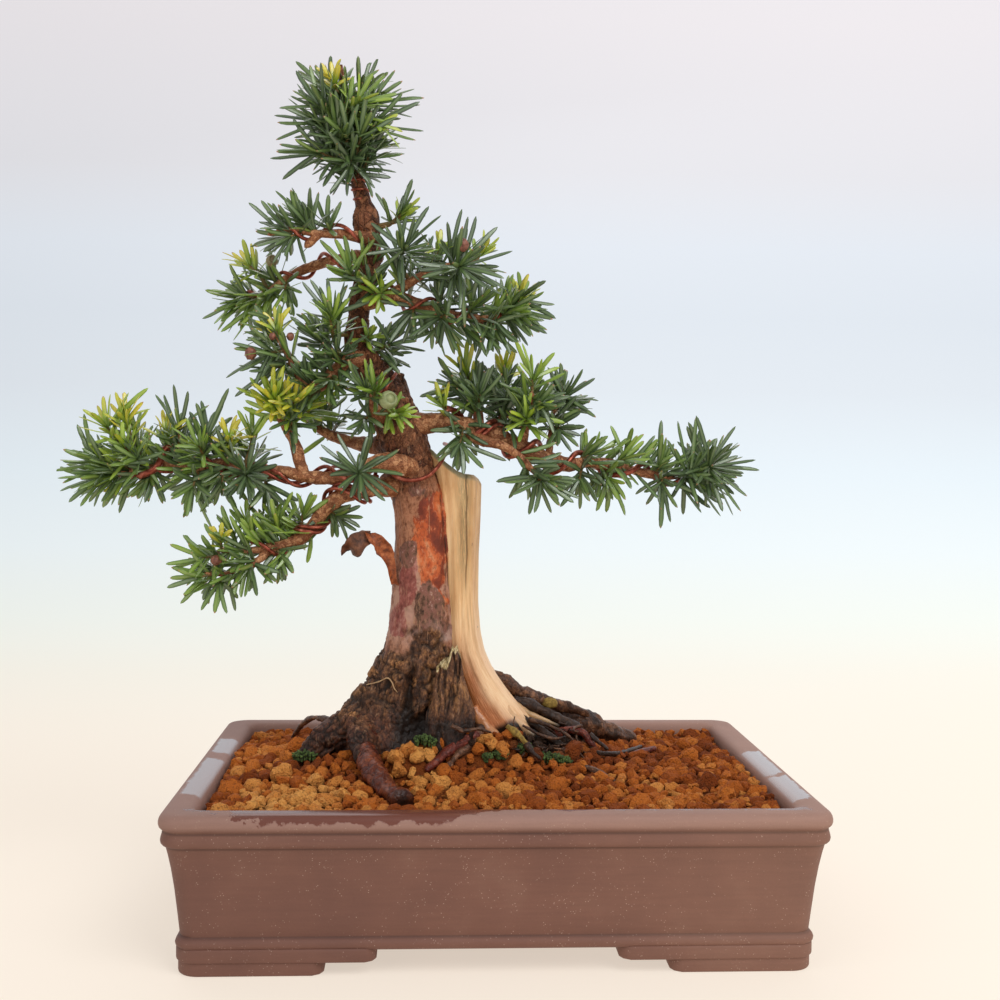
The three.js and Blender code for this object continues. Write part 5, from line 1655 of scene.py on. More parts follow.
SHOOTS = {
    "foliage_apex": [
        (0.15, 20, [(-75, 392, -2), (-78, 402, -2), (-80, 412, -1)], [
            (-84, 429), (-76, 430), (-99, 424), (-60, 427), (-91, 427)]),
        (0.12, 24, [(-77, 382, -8), (-80, 391, -12)], [
            (-93, 408), (-86, 413), (-79, 415), (-98, 402), (-74, 412)]),
        (0.12, 24, [(-71, 384, -9), (-69, 392, -13)], [(-61, 411), (-68, 416), (-55, 405), (-73, 414)]),
        (0.10, 23, [(-76, 392, -4), (-84, 400, -10), (-89, 407, -13)], [
            (-104, 424), (-111, 407), (-100, 417), (-97, 398)]),
        (0.10, 21, [(-74, 390, 0), (-69, 399, 0), (-65, 408, -2)], [
            (-52, 427), (-50, 423), (-43, 419), (-38, 417), (-39, 407), (-43, 403)]),
        (0.05, 22, [(-73, 379, -3), (-82, 381, -9), (-90, 384, -12)], [
            (-114, 378), (-109, 371), (-110, 384), (-110, 388)]),
        (0.05, 20, [(-71, 373, 0), (-67, 377, -2), (-65, 382, -4)], [
            (-53, 372), (-50, 377), (-48, 384), (-52, 394)]),
        (0.20, 21, [(-76, 386, -6), (-76, 393, -17)], []),
        (0.10, 22, [(-75, 386, 0), (-84, 392, -4), (-90, 399, -6)], [
            (-113, 404), (-111, 396), (-106, 411), (-112, 390)]),
        (0.12, 20, [(-73, 384, 0), (-68, 391, -2), (-64, 398, -4)], [
            (-37, 396), (-39, 411), (-42, 389), (-46, 413)]),
        (0.50, 20, [(-77, 402, -8), (-71, 409, -14)], [(-57, 424), (-51, 415), (-77, 421)]),
        (0.10, 22, [(-75, 388, 4), (-80, 398, 14)], []),
        (0.10, 22, [(-71, 380, 6), (-64, 388, 14)], []),
        (0.12, 22, [(-77, 400, 4), (-84, 412, 9), (-87, 416, 11)], []),
        (0.12, 22, [(-76, 398, 4), (-70, 412, 8), (-67, 417, 10)], []),
        (0.05, 21, [(-72, 376, -4), (-74, 380, -15)], [(-62, 366), (-82, 363)]),
        (1.00, 12, [(-82, 415, -6), (-83, 420, -6)], [(-84, 430), (-88, 427), (-80, 428), (-90, 423)]),
        (0.70, 12, [(-64, 396, -6), (-61, 398, -10)], [(-50, 404), (-48, 399), (-47, 392)]),
    ],
    "foliage_upper_left": [
        (0.05, 20, [(-100, 343, -14), (-104, 341, -17)], [
            (-122, 340), (-122, 336), (-119, 348), (-117, 331), (-107, 331)]),
        (0.10, 20, [(-92, 344, -12), (-97, 350, -12)], [
            (-106, 358), (-107, 354), (-97, 361), (-90, 363), (-110, 349)]),
        (0.20, 19, [(-84, 344, -10), (-86, 348, -12)], [(-84, 355), (-80, 352), (-86, 349), (-98, 344)]),
        (0.05, 19, [(-104, 342, -13), (-110, 340, -8)], []),
    ],
    "foliage_second_left": [
        (0.80, 16, [(-120, 322, 12), (-125, 326, 12)], [
            (-134, 331), (-128, 339), (-124, 337), (-134, 328)]),
        (0.30, 21, [(-122, 310, 15), (-130, 309, 14)], [
            (-130, 320), (-141, 307), (-141, 302), (-147, 297), (-140, 294)]),
        (0.45, 20, [(-113, 313, 13), (-117, 310, 9)], [(-121, 303), (-116, 301), (-133, 288), (-138, 291)]),
        (0.35, 18, [(-106, 318, 12), (-107, 314, 7)], [(-104, 303), (-101, 304), (-99, 318)]),
        (0.20, 20, [(-110, 316, 14), (-114, 321, 17)], []),
        (0.25, 20, [(-124, 309, 17), (-128, 304, 22)], []),
    ],
    "foliage_left_shoot": [
        (0.85, 14, [(-109, 288, -17), (-111, 293, -18)], [(-115, 303), (-108, 302)]),
        (0.15, 19, [(-106, 283, -17), (-114, 282, -20)], [
            (-138, 271), (-133, 287), (-124, 265), (-120, 302)]),
        (0.10, 18, [(-103, 277, -17), (-112, 274, -16)], [(-133, 260)]),
        (0.20, 20, [(-111, 290, -16), (-116, 292, -10)], []),
    ],
    "foliage_centre": [
        (0.55, 18, [(-82, 290, -14), (-84, 300, -20)], [(-91, 312), (-84, 315), (-77, 312), (-88, 304)]),
        (0.05, 19, [(-80, 292, -10), (-83, 301, -16)], [
            (-99, 317), (-92, 320), (-86, 321), (-78, 318), (-75, 317), (-66, 310)]),
        (0.10, 18, [(-84, 284, -12), (-90, 289, -16)], [(-100, 291), (-101, 300), (-97, 304)]),
        (0.05, 18, [(-79, 278, -11), (-80, 284, -18)], [(-92, 276), (-70, 292), (-70, 284)]),
        (0.10, 16, [(-81, 272, -13), (-84, 268, -20)], []),
        (0.05, 18, [(-84, 286, -10), (-88, 294, -6)], []),
    ],
    "foliage_leader": [
        (0.35, 17, [(-69, 318, -6), (-74, 323, -12)], [
            (-89, 340), (-86, 340), (-79, 341), (-74, 342), (-62, 341), (-87, 324), (-84, 322)]),
        (0.65, 14, [(-60, 312, -10), (-58, 313, -17)], [(-68, 321), (-66, 319), (-60, 325)]),
        (0.15, 15, [(-62, 314, -8), (-64, 318, -14)], [(-73, 318), (-80, 323)]),
    ],
    "foliage_leader_low": [
        (0.05, 18, [(-60, 284, -4), (-53, 287, -10)], [
            (-58, 297), (-50, 296), (-59, 302), (-35, 284), (-31, 294), (-48, 276)]),
        (0.05, 17, [(-62, 280, 0), (-55, 281, 2)], [(-48, 272)]),
        (0.60, 11, [(-66, 288, -6), (-64, 291, -11)], [(-64, 299), (-58, 293)]),
    ],
    "foliage_upper_right": [
        (0.05, 23, [(-50, 330, -12), (-46, 336, -24)], [
            (-65, 349), (-62, 343), (-66, 333), (-61, 322), (-48, 314), (-37, 359), (-30, 355),
            (-31, 338), (-27, 333)]),
        (0.05, 24, [(-23, 328, -16), (-18, 327, -30)], [
            (-20, 357), (-22, 350), (-14, 353), (-7, 352), (0, 350), (9, 336), (6, 329), (4, 326),
            (8, 320), (3, 312), (-39, 327), (-35, 323), (-24, 321), (-15, 306), (-25, 301), (-14, 297)]),
        (0.75, 13, [(-10, 330, -12), (-7, 334, -12)], [(-6, 343), (-1, 341)]),
        (0.70, 12, [(-30, 332, -14), (-28, 336, -14)], [(-27, 345), (-37, 336)]),
        (0.70, 14, [(-50, 350, -6), (-48, 354, -8)], [(-44, 360), (-40, 357)]),
        (0.10, 18, [(-54, 348, -4), (-49, 353, -6)], [(-43, 371), (-40, 364), (-55, 362), (-40, 356)]),
        (0.15, 20, [(6, 303, -8), (10, 305, -12)], [(25, 298), (20, 304), (20, 295), (17, 292)]),
        (0.80, 16, [(9, 306, -8), (13, 311, -8)], [(10, 323), (16, 322), (20, 321), (22, 316)]),
        (0.10, 22, [(-4, 300, -10), (1, 299, -14)], [(9, 284), (-5, 285), (-2, 285), (3, 287)]),
        (0.08, 22, [(-24, 303, -12), (-28, 301, -18)], [
            (-28, 287), (-16, 288), (-35, 289), (-31, 289), (-45, 292)]),
        (0.05, 20, [(-40, 308, -10), (-42, 303, -16)], [(-52, 294), (-36, 296)]),
        (0.20, 21, [(-14, 303, -10), (-11, 307, -16)], []),
        (0.05, 22, [(-26, 326, -14), (-30, 328, -4)], []),
        (0.05, 22, [(-22, 328, -15), (-16, 330, -5)], []),
        (0.10, 21, [(-42, 319, -12), (-40, 324, -4)], []),
        (0.10, 20, [(-10, 302, -9), (-7, 308, 2)], []),
        (0.10, 20, [(-30, 305, -10), (-28, 310, 0)], []),
        (0.10, 19, [(4, 303, -7), (9, 306, 2)], []),
    ],
    "foliage_top": [
        (0.45, 16, [(-61, 258, -20), (-61, 263, -27)], [(-68, 279), (-61, 279), (-56, 274)]),
        (0.08, 19, [(-62, 259, -18), (-66, 264, -24)], [
            (-79, 276), (-74, 276), (-53, 275), (-84, 270), (-80, 264)]),
        (0.55, 13, [(-54, 252, -16), (-48, 251, -25)], [(-40, 257), (-55, 250), (-51, 241)]),
        (0.08, 17, [(-62, 250, -12), (-66, 249, -20)], [(-78, 252), (-72, 241)]),
    ],
    "foliage_left_light": [
        (0.86, 16, [(-111, 254, -12), (-112, 258, -22)], [
            (-114, 275), (-110, 276), (-105, 273), (-122, 268), (-124, 261), (-100, 266)]),
        (0.80, 17, [(-104, 252, -12), (-102, 257, -22)], [(-96, 272), (-90, 264), (-107, 270), (-92, 254)]),
        (0.62, 20, [(-102, 250, -6), (-99, 256, -12)], [
            (-106, 277), (-97, 278), (-94, 278), (-88, 262), (-85, 257)]),
        (0.55, 20, [(-96, 250, 6), (-92, 258, 0)], [(-86, 279), (-81, 276), (-76, 270), (-80, 255)]),
        (0.10, 20, [(-104, 243, -12), (-102, 248, -18)], [(-92, 272), (-100, 239), (-116, 244)]),
        (0.15, 19, [(-90, 246, 22), (-86, 252, 24)], []),
        (0.50, 19, [(-98, 250, 22), (-100, 258, 20)], []),
        (0.10, 19, [(-82, 241, 20), (-80, 246, 30)], []),
    ],
    "foliage_front": [
        (0.03, 22, [(-68, 222, -30), (-69, 221, -39)], [
            (-81, 240), (-89, 234), (-88, 227), (-64, 240), (-47, 231), (-47, 225), (-47, 215),
            (-57, 205), (-58, 232), (-80, 212), (-70, 206)]),
    ],
    "foliage_left_tip": [
        (0.90, 15, [(-184, 238, 0), (-187, 248, -2)], [(-187, 261), (-192, 259), (-182, 259)]),
        (0.70, 18, [(-190, 234, 0), (-196, 243, -2)], [(-199, 258), (-184, 260), (-178, 265), (-177, 256)]),
        (0.20, 22, [(-192, 222, 2), (-202, 226, 0)], [
            (-212, 243), (-210, 249), (-207, 238), (-208, 234), (-208, 231), (-217, 226)]),
        (0.25, 22, [(-190, 220, 3), (-200, 217, 0)], [
            (-216, 223), (-219, 214), (-216, 207), (-207, 207), (-203, 209), (-197, 204)]),
        (0.60, 18, [(-182, 226, 0), (-187, 233, -8)], [(-189, 240), (-181, 232)]),
        (0.25, 20, [(-176, 224, 0), (-181, 227, -10)], [(-186, 222), (-168, 228)]),
        (0.20, 20, [(-186, 222, 4), (-192, 228, 13)], []),
        (0.30, 20, [(-178, 226, 2), (-182, 236, 10)], []),
        (0.15, 18, [(-172, 224, 0), (-176, 216, -6)], [(-178, 206), (-168, 206)]),
    ],
    "foliage_left_middle": [
        (0.85, 14, [(-166, 232, -3), (-166, 240, -5)], [(-165, 252), (-170, 250), (-160, 249)]),
        (0.08, 20, [(-160, 230, -3), (-160, 242, -6)], [(-162, 265), (-171, 261), (-153, 261)]),
        (0.10, 20, [(-148, 228, -6), (-146, 238, -8)], [
            (-146, 257), (-136, 264), (-135, 257), (-156, 250)]),
        (0.92, 13, [(-134, 231, -9), (-134, 238, -13)], [(-134, 250), (-140, 247), (-128, 247)]),
        (0.60, 16, [(-124, 232, -10), (-123, 240, -12)], [(-123, 254), (-117, 250), (-129, 252)]),
        (0.03, 19, [(-125, 222, -14), (-126, 219, -28)], [
            (-129, 233), (-122, 231), (-114, 231), (-139, 222), (-137, 218), (-125, 205), (-110, 212),
            (-115, 221), (-134, 207)]),
        (0.15, 20, [(-150, 220, -8), (-153, 213, -12)], [
            (-156, 200), (-144, 191), (-143, 205), (-162, 208)]),
        (0.20, 19, [(-138, 222, -10), (-138, 215, -14)], [(-141, 204), (-130, 199), (-147, 210)]),
        (0.10, 18, [(-116, 218, -10), (-116, 213, -16)], [(-117, 200), (-108, 203)]),
        (0.15, 20, [(-154, 224, -4), (-156, 230, 6)], []),
        (0.15, 20, [(-138, 226, -7), (-138, 232, 3)], []),
        (0.20, 19, [(-124, 222, -9), (-122, 228, 1)], []),
        (0.40, 19, [(-146, 226, -7), (-150, 234, -16)], [(-158, 243)]),
    ],
    "foliage_lower_left": [
        (0.92, 9, [(-138, 182, -28), (-139, 186, -30)], [(-142, 194), (-138, 195), (-135, 193)]),
        (0.35, 18, [(-140, 178, -29), (-148, 177, -32)], [
            (-159, 188), (-150, 186), (-166, 172), (-162, 175)]),
        (0.30, 18, [(-142, 169, -31), (-149, 167, -34)], [
            (-166, 162), (-159, 159), (-153, 158), (-157, 177)]),
        (0.25, 19, [(-134, 169, -30), (-139, 165, -34)], [
            (-146, 154), (-143, 150), (-138, 148), (-128, 158)]),
        (0.20, 17, [(-122, 176, -27), (-124, 172, -31)], [(-125, 161), (-115, 163), (-133, 162)]),
        (0.15, 16, [(-110, 182, -23), (-109, 177, -26)], [(-107, 164), (-105, 168), (-100, 172)]),
        (0.45, 18, [(-108, 188, -20), (-110, 195, -22)], [
            (-119, 206), (-111, 208), (-103, 212), (-121, 198)]),
        (0.40, 17, [(-120, 184, -22), (-124, 192, -20)], [(-133, 203), (-127, 206), (-118, 204)]),
        (0.45, 16, [(-98, 194, -18), (-97, 200, -20)], [(-104, 208), (-94, 211), (-88, 207)]),
        (0.15, 15, [(-84, 202, -17), (-80, 199, -20)], [
            (-67, 196), (-68, 204), (-79, 192), (-72, 188), (-94, 184)]),
        (0.30, 18, [(-130, 182, -25), (-132, 190, -18)], []),
        (0.25, 18, [(-114, 186, -20), (-114, 193, -10)], []),
        (0.30, 18, [(-140, 172, -29), (-144, 172, -20)], []),
        (0.20, 17, [(-100, 192, -17), (-101, 197, -8)], []),
    ],
    "foliage_right_low": [
        (0.15, 20, [(22, 220, -24), (26, 218, -30)], [
            (2, 220), (6, 215), (10, 211), (24, 207), (37, 213), (33, 209), (35, 205), (45, 209)]),
        (0.35, 16, [(58, 224, -5), (60, 219, -10)], [
            (64, 226), (73, 203), (62, 202), (56, 202), (53, 204), (53, 211)]),
        (0.10, 17, [(46, 224, -8), (45, 219, -14)], [(47, 204), (38, 206)]),
        (0.35, 19, [(46, 230, -7), (52, 232, -8)], [(45, 246), (51, 243), (57, 243), (59, 240)]),
        (0.40, 20, [(64, 228, -4), (68, 230, -4)], [(63, 247), (72, 247), (76, 240)]),
        (0.15, 18, [(56, 226, -5), (60, 222, 4)], []),
    ],
    "foliage_right_pad": [
        (0.78, 17, [(-11, 264, 3), (-14, 272, 3)], [(-20, 289), (-16, 291), (-11, 289)]),
        (0.10, 20, [(-10, 262, 2), (-18, 266, -2)], [(-29, 278), (-28, 273), (-34, 269), (-38, 261)]),
        (0.88, 15, [(6, 266, 11), (5, 273, 9)], [(2, 284), (6, 287), (11, 284)]),
        (0.62, 19, [(20, 264, -12), (20, 270, -14)], [(11, 291), (17, 289), (28, 284), (34, 279)]),
        (0.05, 20, [(-8, 254, -4), (-7, 262, -14)], [(-22, 262), (6, 270), (-2, 276)]),
        (0.03, 20, [(34, 258, 4), (37, 262, -2)], [
            (54, 262), (53, 260), (50, 259), (49, 256), (53, 251), (43, 271), (36, 276)]),
        (0.58, 16, [(17, 246, -11), (17, 250, -19)], [
            (5, 253), (28, 262), (37, 251), (26, 254), (14, 264), (8, 244)]),
        (0.05, 18, [(6, 256, 4), (8, 262, -6)], [(-4, 270), (22, 272)]),
        (0.05, 18, [(18, 256, -12), (24, 258, -20)], [(40, 262), (34, 246)]),
        (0.72, 14, [(-22, 250, -8), (-26, 256, -8)], [(-30, 266), (-24, 267)]),
        (0.10, 16, [(31, 246, 0), (34, 245, -8)], [(44, 243), (40, 234), (28, 238)]),
        (0.10, 19, [(4, 246, -4), (10, 247, -12)], [(-4, 250)]),
        (0.08, 20, [(-10, 258, 0), (-12, 264, 14)], []),
        (0.08, 20, [(6, 258, 6), (4, 266, 20)], []),
        (0.10, 19, [(18, 258, -8), (20, 264, 2)], []),
        (0.08, 19, [(32, 254, 4), (36, 258, 14)], []),
        (0.10, 18, [(-14, 248, -10), (-17, 237, -20)], [
            (-24, 250), (-22, 243), (-11, 240), (-2, 236), (-5, 224), (-12, 222), (-16, 222), (7, 228)]),
    ],
    "foliage_right_tip": [
        (0.05, 24, [(110, 225, 8), (113, 226, -4)], [
            (104, 250), (108, 253), (101, 247), (117, 241), (123, 248), (127, 240), (128, 232),
            (137, 230), (140, 227), (131, 224), (127, 218), (133, 211), (129, 203), (126, 201),
            (120, 203), (111, 205)]),
        (0.10, 22, [(100, 222, 6), (103, 223, -2)], [
            (94, 249), (90, 238), (106, 252), (99, 201), (118, 200)]),
        (0.10, 19, [(88, 221, 4), (88, 218, -2)], [(89, 194), (93, 197), (87, 205), (82, 205)]),
        (0.20, 19, [(84, 222, 3), (87, 226, 0)], [(86, 250), (92, 240), (72, 229)]),
        (0.05, 22, [(112, 225, 11), (114, 226, 20)], []),
        (0.10, 21, [(104, 222, 9), (106, 224, 18)], []),
    ],
}

# Needles that sit on the limbs themselves: limb, fork, from and to where, how many, how long,
# how fresh, and which way they lean.
BRISTLES = {
    "foliage_apex": [
        ("leader", 0, 10.6, 12.4, 80, 19, 0.12, (-0.1, -0.3, 0.7)),
        ("leader", 0, 11.4, 13.0, 40, 21, 0.1, (-0.8, -0.3, 0.6)),
        ("leader", 0, 11.4, 13.0, 26, 19, 0.1, (0.6, -0.3, 0.9)),
    ],
    "foliage_upper_left": [("branch_upper_left", 0, 3, 6, 26, 18, 0.12, (-0.5, -0.2, 0.9))],
    "foliage_second_left": [("branch_second_left", 0, 5, 8, 30, 18, 0.3, (-0.6, -0.4, -0.1))],
    "foliage_left_shoot": [("branch_mid_left", 0, 5.6, 8, 22, 17, 0.2, (-0.7, -0.3, 0.3))],
    "foliage_centre": [("branch_mid_left", 0, 0.6, 4, 50, 18, 0.12, (-0.1, -0.7, 0.5))],
    "foliage_leader": [("leader", 0, 5.8, 7.4, 16, 15, 0.25, (0.1, -0.9, 0.4))],
    "foliage_upper_right": [
        ("branch_upper_right", 0, 3.2, 9, 60, 21, 0.12, (0.1, -0.4, -0.5)),
        ("branch_upper_right", 0, 6.5, 9, 26, 19, 0.4, (0.3, -0.4, 0.6)),
        ("branch_upper_right", 1, 0.8, 4, 26, 20, 0.08, (0.0, -0.5, 0.5)),
    ],
    "foliage_left_light": [
        ("branch_left", 1, 3.4, 5, 26, 18, 0.6, (0.1, -0.4, 0.6)),
        ("branch_left_back", 0, 2.4, 4, 30, 19, 0.5, (0.1, -0.2, 0.6))
    ],
    "foliage_left_tip": [
        ("branch_left", 0, 12, 14, 60, 21, 0.22, (-0.4, 0.0, 0.1)),
        ("branch_left", 0, 12.2, 13.8, 26, 18, 0.6, (-0.3, -0.3, 0.9)),
    ],
    "foliage_left_middle": [
        ("branch_left", 0, 8.8, 12, 46, 19, 0.2, (-0.1, 0.1, 0.7)),
        ("branch_left", 0, 9, 11.6, 24, 18, 0.2, (-0.1, -0.3, -0.6)),
    ],
    "foliage_lower_left": [
        ("branch_lower_left", 0, 5.4, 9, 50, 17, 0.42, (-0.2, 0.3, 1.0)),
        ("branch_lower_left", 1, 1.2, 4, 18, 16, 0.25, (-0.5, -0.3, -0.3)),
        ("branch_lower_left", 0, 8.6, 10, 14, 16, 0.3, (-0.6, -0.4, 0.1)),
    ],
    "foliage_right_pad": [
        ("branch_right", 2, 0.8, 2, 26, 19, 0.1, (-0.2, -0.2, 0.4)),
        ("branch_right", 3, 0.8, 2, 26, 19, 0.1, (0.0, -0.4, 0.3)),
        ("branch_right", 4, 0.9, 2, 24, 18, 0.25, (0.2, -0.2, 0.4)),
        ("branch_right", 5, 1.4, 3, 22, 17, 0.1, (0.6, -0.2, 0.3)),
    ],
    "foliage_right_low": [
        ("branch_right", 0, 7.4, 9.6, 16, 17, 0.2, (0.2, -0.4, -0.3)),
        ("branch_right", 1, 3, 5, 24, 18, 0.12, (0.3, -0.4, -0.3))
    ],
    "foliage_right_tip": [
        ("branch_right", 0, 11.4, 12.9, 40, 21, 0.12, (0.3, -0.4, 0.0)),
        ("branch_right", 0, 9.6, 11.2, 14, 20, 0.3, (0.0, -0.2, 1.0)),
    ],
}


def needle_pattern(name, curl, sweep):
    """One needle, 1 long along x and 1 wide, its upper face up. It bends down by curl widths
    and sideways by sweep widths, and its tip is blunt with a small point."""
    stations = [(0, 0.24), (0.1, 0.72), (0.42, 1), (0.8, 0.96), (0.94, 0.66), (1, 0.12)]
    section = [(-0.5, 0.0), (-0.28, 0.08), (0.0, 0.03), (0.28, 0.08), (0.5, 0.0), (0.0, -0.09)]
    points = []
    for along_it, wide in stations:
        for across, up in section:
            points.append(
                (along_it, across * wide + sweep * along_it**2, up * max(wide, 0.5) - curl * along_it**2)
            )
    count = len(section)
    faces = []
    for k in range(len(stations) - 1):
        for j in range(count):
            a, b = k * count + j, k * count + (j + 1) % count
            faces.append((a, b, b + count, a + count))
    faces.append(tuple(range(count)))
    faces.append(tuple(range(len(points) - 1, len(points) - 1 - count, -1)))
    mesh = bpy.data.meshes.new(name)
    mesh.from_pydata(points, [], faces)
    flat = np.array(points)
    position = np.tile(np.arange(count), len(stations))
    tagged(mesh, under=position == 5, rib=position == 2, far=flat[:, 0])
    outward(mesh)
    return pattern(name, mesh)


NEEDLE_PATTERNS = [
    needle_pattern(f"needle_{k}", curl, sweep)
    for k, (curl, sweep) in enumerate(
        [(0.2, 0.1), (1.0, 0.4), (-0.8, -0.4), (1.9, -0.7), (-0.3, 1.1), (0.6, -1.0)]
    )
]


def scatter_tree(name, sizes, layout):
    """A tree of geometry nodes with named inputs for its sizes, its seed and its finish; layout
    adds the nodes that set the instances out."""
    tree = bpy.data.node_groups.new(name, "GeometryNodeTree")
    inputs = (("Geometry", "Geometry", None), *sizes, ("Seed", "Int", 1), ("Finish", "Material", None))
    for label, kind, value in inputs:
        socket = tree.interface.new_socket(label, in_out="INPUT", socket_type="NodeSocket" + kind)
        if value is not None:
            socket.default_value = value
    tree.interface.new_socket("Geometry", in_out="OUTPUT", socket_type="NodeSocketGeometry")
    n = Wiring(tree)
    start = n("NodeGroupInput").outputs
    real = n("GeometryNodeRealizeInstances", {"Geometry": layout(n, start)})
    done = n("GeometryNodeSetMaterial", {"Geometry": real, "Material": start["Finish"]})
    n("NodeGroupOutput", {"Geometry": done})
    return tree


def chance(n, seed, low, high):
    """A number for each point, by chance between low and high; three numbers if they are."""
    kind, first = ("FLOAT_VECTOR", 0) if isinstance(low, tuple) else ("FLOAT", 2)
    node = n("FunctionNodeRandomValue", {"Seed": seed}, data_type=kind)
    node.inputs[first].default_value, node.inputs[first + 1].default_value = low, high
    return node.outputs[first // 2]


def set_out(n, sources, points, seed, rotation, scale):
    """Instances on the points: one of the sources on each, picked by chance."""
    gathered = n("GeometryNodeJoinGeometry")
    for source in reversed(sources):
        info = n("GeometryNodeObjectInfo", {"Object": source, "As Instance": True})
        n.tree.links.new(info.outputs["Geometry"], gathered.inputs[0])
    pick = n("FunctionNodeRandomValue", {"Seed": seed}, data_type="INT")
    pick.inputs[4].default_value, pick.inputs[5].default_value = 0, len(sources) - 1
    return n("GeometryNodeInstanceOnPoints", {
        "Points": points, "Instance": gathered, "Pick Instance": True, "Instance Index": pick.outputs[2],
        "Rotation": rotation, "Scale": scale,
    }).outputs[0]


def named(n, label, kind="FLOAT"):
    """A named attribute of the points."""
    return n("GeometryNodeInputNamedAttribute", {"Name": label}, data_type=kind).outputs[0]


def along_stems(n, start):
    """Points along the stems, and for each needle its heading, face, reach and freshness. Each
    is turned on from the last by the named turn, and leans more the nearer it is to the tip."""

    def vector(operation, *values):
        return n("ShaderNodeVectorMath", dict(enumerate(values)), operation=operation).outputs[0]

    def scaled(value, share):
        return n("ShaderNodeVectorMath", {0: value, "Scale": share}, operation="SCALE").outputs[0]

    def by_chance(low, high, offset):
        return chance(n, n.math("ADD", start["Seed"], float(offset)), low, high)

    curve = n("GeometryNodeMeshToCurve", {"Mesh": start["Geometry"]})
    points = n(
        "GeometryNodeResampleCurve", {"Curve": curve, "Length": start["Spacing"]}, mode="LENGTH"
    ).outputs[0]
    axis, share = named(n, "axis", "FLOAT_VECTOR"), named(n, "share")
    turn = n.math(
        "MULTIPLY_ADD", n("GeometryNodeInputIndex").outputs[0], start["Turn"], by_chance(-0.35, 0.35, 1),
    )
    side = vector("NORMALIZE", vector("CROSS_PRODUCT", axis, (0.31, 0.12, -0.94)))
    other = vector("CROSS_PRODUCT", axis, side)
    spread = n.less(start["Tip Spread"], start["Foot Spread"])
    scatter = n.times(by_chance(-1.0, 1.0, 2), start["Scatter"])
    spread = n.weighed(spread, share, n.math("ADD", start["Foot Spread"], scatter))
    ring = vector("ADD", scaled(side, n.math("COSINE", turn)), scaled(other, n.math("SINE", turn)))
    heading = vector("ADD", scaled(ring, n.math("SINE", spread)), scaled(axis, n.math("COSINE", spread)))
    twist = by_chance((-0.5, -0.5, -0.5), (0.5, 0.5, 0.5), 6)
    face_up = vector("ADD", vector("ADD", scaled(axis, 0.7), (0.0, -0.6, 0.45)), twist)
    reach = n.times(named(n, "reach"), by_chance(0.7, 1.08, 3))
    return points, heading, face_up, reach, n.weighed(n.less(share, 0.6), 0.16, named(n, "fresh"))


def one_by_one(n, start):
    """Points that carry their own needle's heading, face, reach and freshness."""
    points = n("GeometryNodeMeshToPoints", {"Mesh": start["Geometry"]}).outputs[0]
    directions = named(n, "heading", "FLOAT_VECTOR"), named(n, "face", "FLOAT_VECTOR")
    return points, *directions, named(n, "reach"), named(n, "fresh")


def needle_tree(name, sizes, placing):
    """A tree of geometry nodes that sets needles out, turned, sized and tinted."""

    def layout(n, start):
        points, heading, face_up, reach, fresh = placing(n, start)
        axes = {"Primary Axis": heading, "Secondary Axis": face_up}
        turned = n("FunctionNodeAxesToRotation", axes, primary_axis="X", secondary_axis="Z")
        wide = n.times(start["Width"], chance(n, n.math("ADD", start["Seed"], 4.0), 0.85, 1.1))
        size = n("ShaderNodeCombineXYZ", {0: reach, 1: wide, 2: wide})
        placed = set_out(n, NEEDLE_PATTERNS, points, start["Seed"], turned, size)
        shade = chance(n, n.math("ADD", start["Seed"], 5.0), 0.0, 1.0)
        for label, value in (("fresh", fresh), ("shade", shade)):
            inputs = {"Geometry": placed, "Name": label}
            store = n("GeometryNodeStoreNamedAttribute", inputs, data_type="FLOAT", domain="INSTANCE")
            n.fill(store.inputs["Value"], value)
            placed = store.outputs[0]
        return placed

    return scatter_tree(name, (("Width", "Float", NEEDLE_WIDTH * MM), *sizes), layout)


def set_input(modifier, label, value):
    """Sets a modifier's named input, by its socket's identifier."""
    for item in modifier.node_group.interface.items_tree:
        if item.item_type == "SOCKET" and item.in_out == "INPUT" and item.name == label:
            modifier[item.identifier] = value


STEM_SIZES = (
    ("Spacing", "Float", NEEDLE_SPACING * MM), ("Turn", "Float", GOLDEN_TURN),
    ("Foot Spread", "Float", 1.3), ("Tip Spread", "Float", 0.42), ("Scatter", "Float", 0.22),
)
STEM_NEEDLES = needle_tree("needles_on_stems", STEM_SIZES, along_stems)
LONE_NEEDLES = needle_tree("needles_one_by_one", (), one_by_one)


def grown(name, tree, points, edges, seed, finish, **attributes):
    """The mesh that a tree of geometry nodes grows from these points and edges."""
    mesh = bpy.data.meshes.new(name)
    mesh.from_pydata(points * MM + TO_FRAME, edges, [])
    for key, values in attributes.items():
        values = np.asarray(values, np.float32)
        if values.ndim == 1:
            tagged(mesh, **{key: values})
        else:
            mesh.attributes.new(key, "FLOAT_VECTOR", "POINT").data.foreach_set("vector", values.ravel())
    made = linked(name, mesh)
    modifier = made.modifiers.new("grow", "NODES")
    modifier.node_group = tree
    set_input(modifier, "Finish", finish)
    set_input(modifier, "Seed", seed)
    return plain(made)


LIMB_LINES = np.vstack([
    route_line(route, 8)[0][4:] for routes in BRANCHES.values() for route in routes
] + [route_line(LEADER, 8)[0]])


def twig_part(stem):
    """A thin twig from the nearest limb to the end of a shoot's stem."""
    nearest = LIMB_LINES[np.argmin(np.linalg.norm(LIMB_LINES - stem[0], axis=1))]
    gap = np.linalg.norm(stem[0] - nearest)
    through = [nearest, *stem] if gap > 0.8 else list(stem)
    line = spline(through, 6)
    radii = np.linspace(1.15 if gap > 4 else 0.95, 0.5, len(line))
    return shell(tube_grid(line, radii, 7)[0])


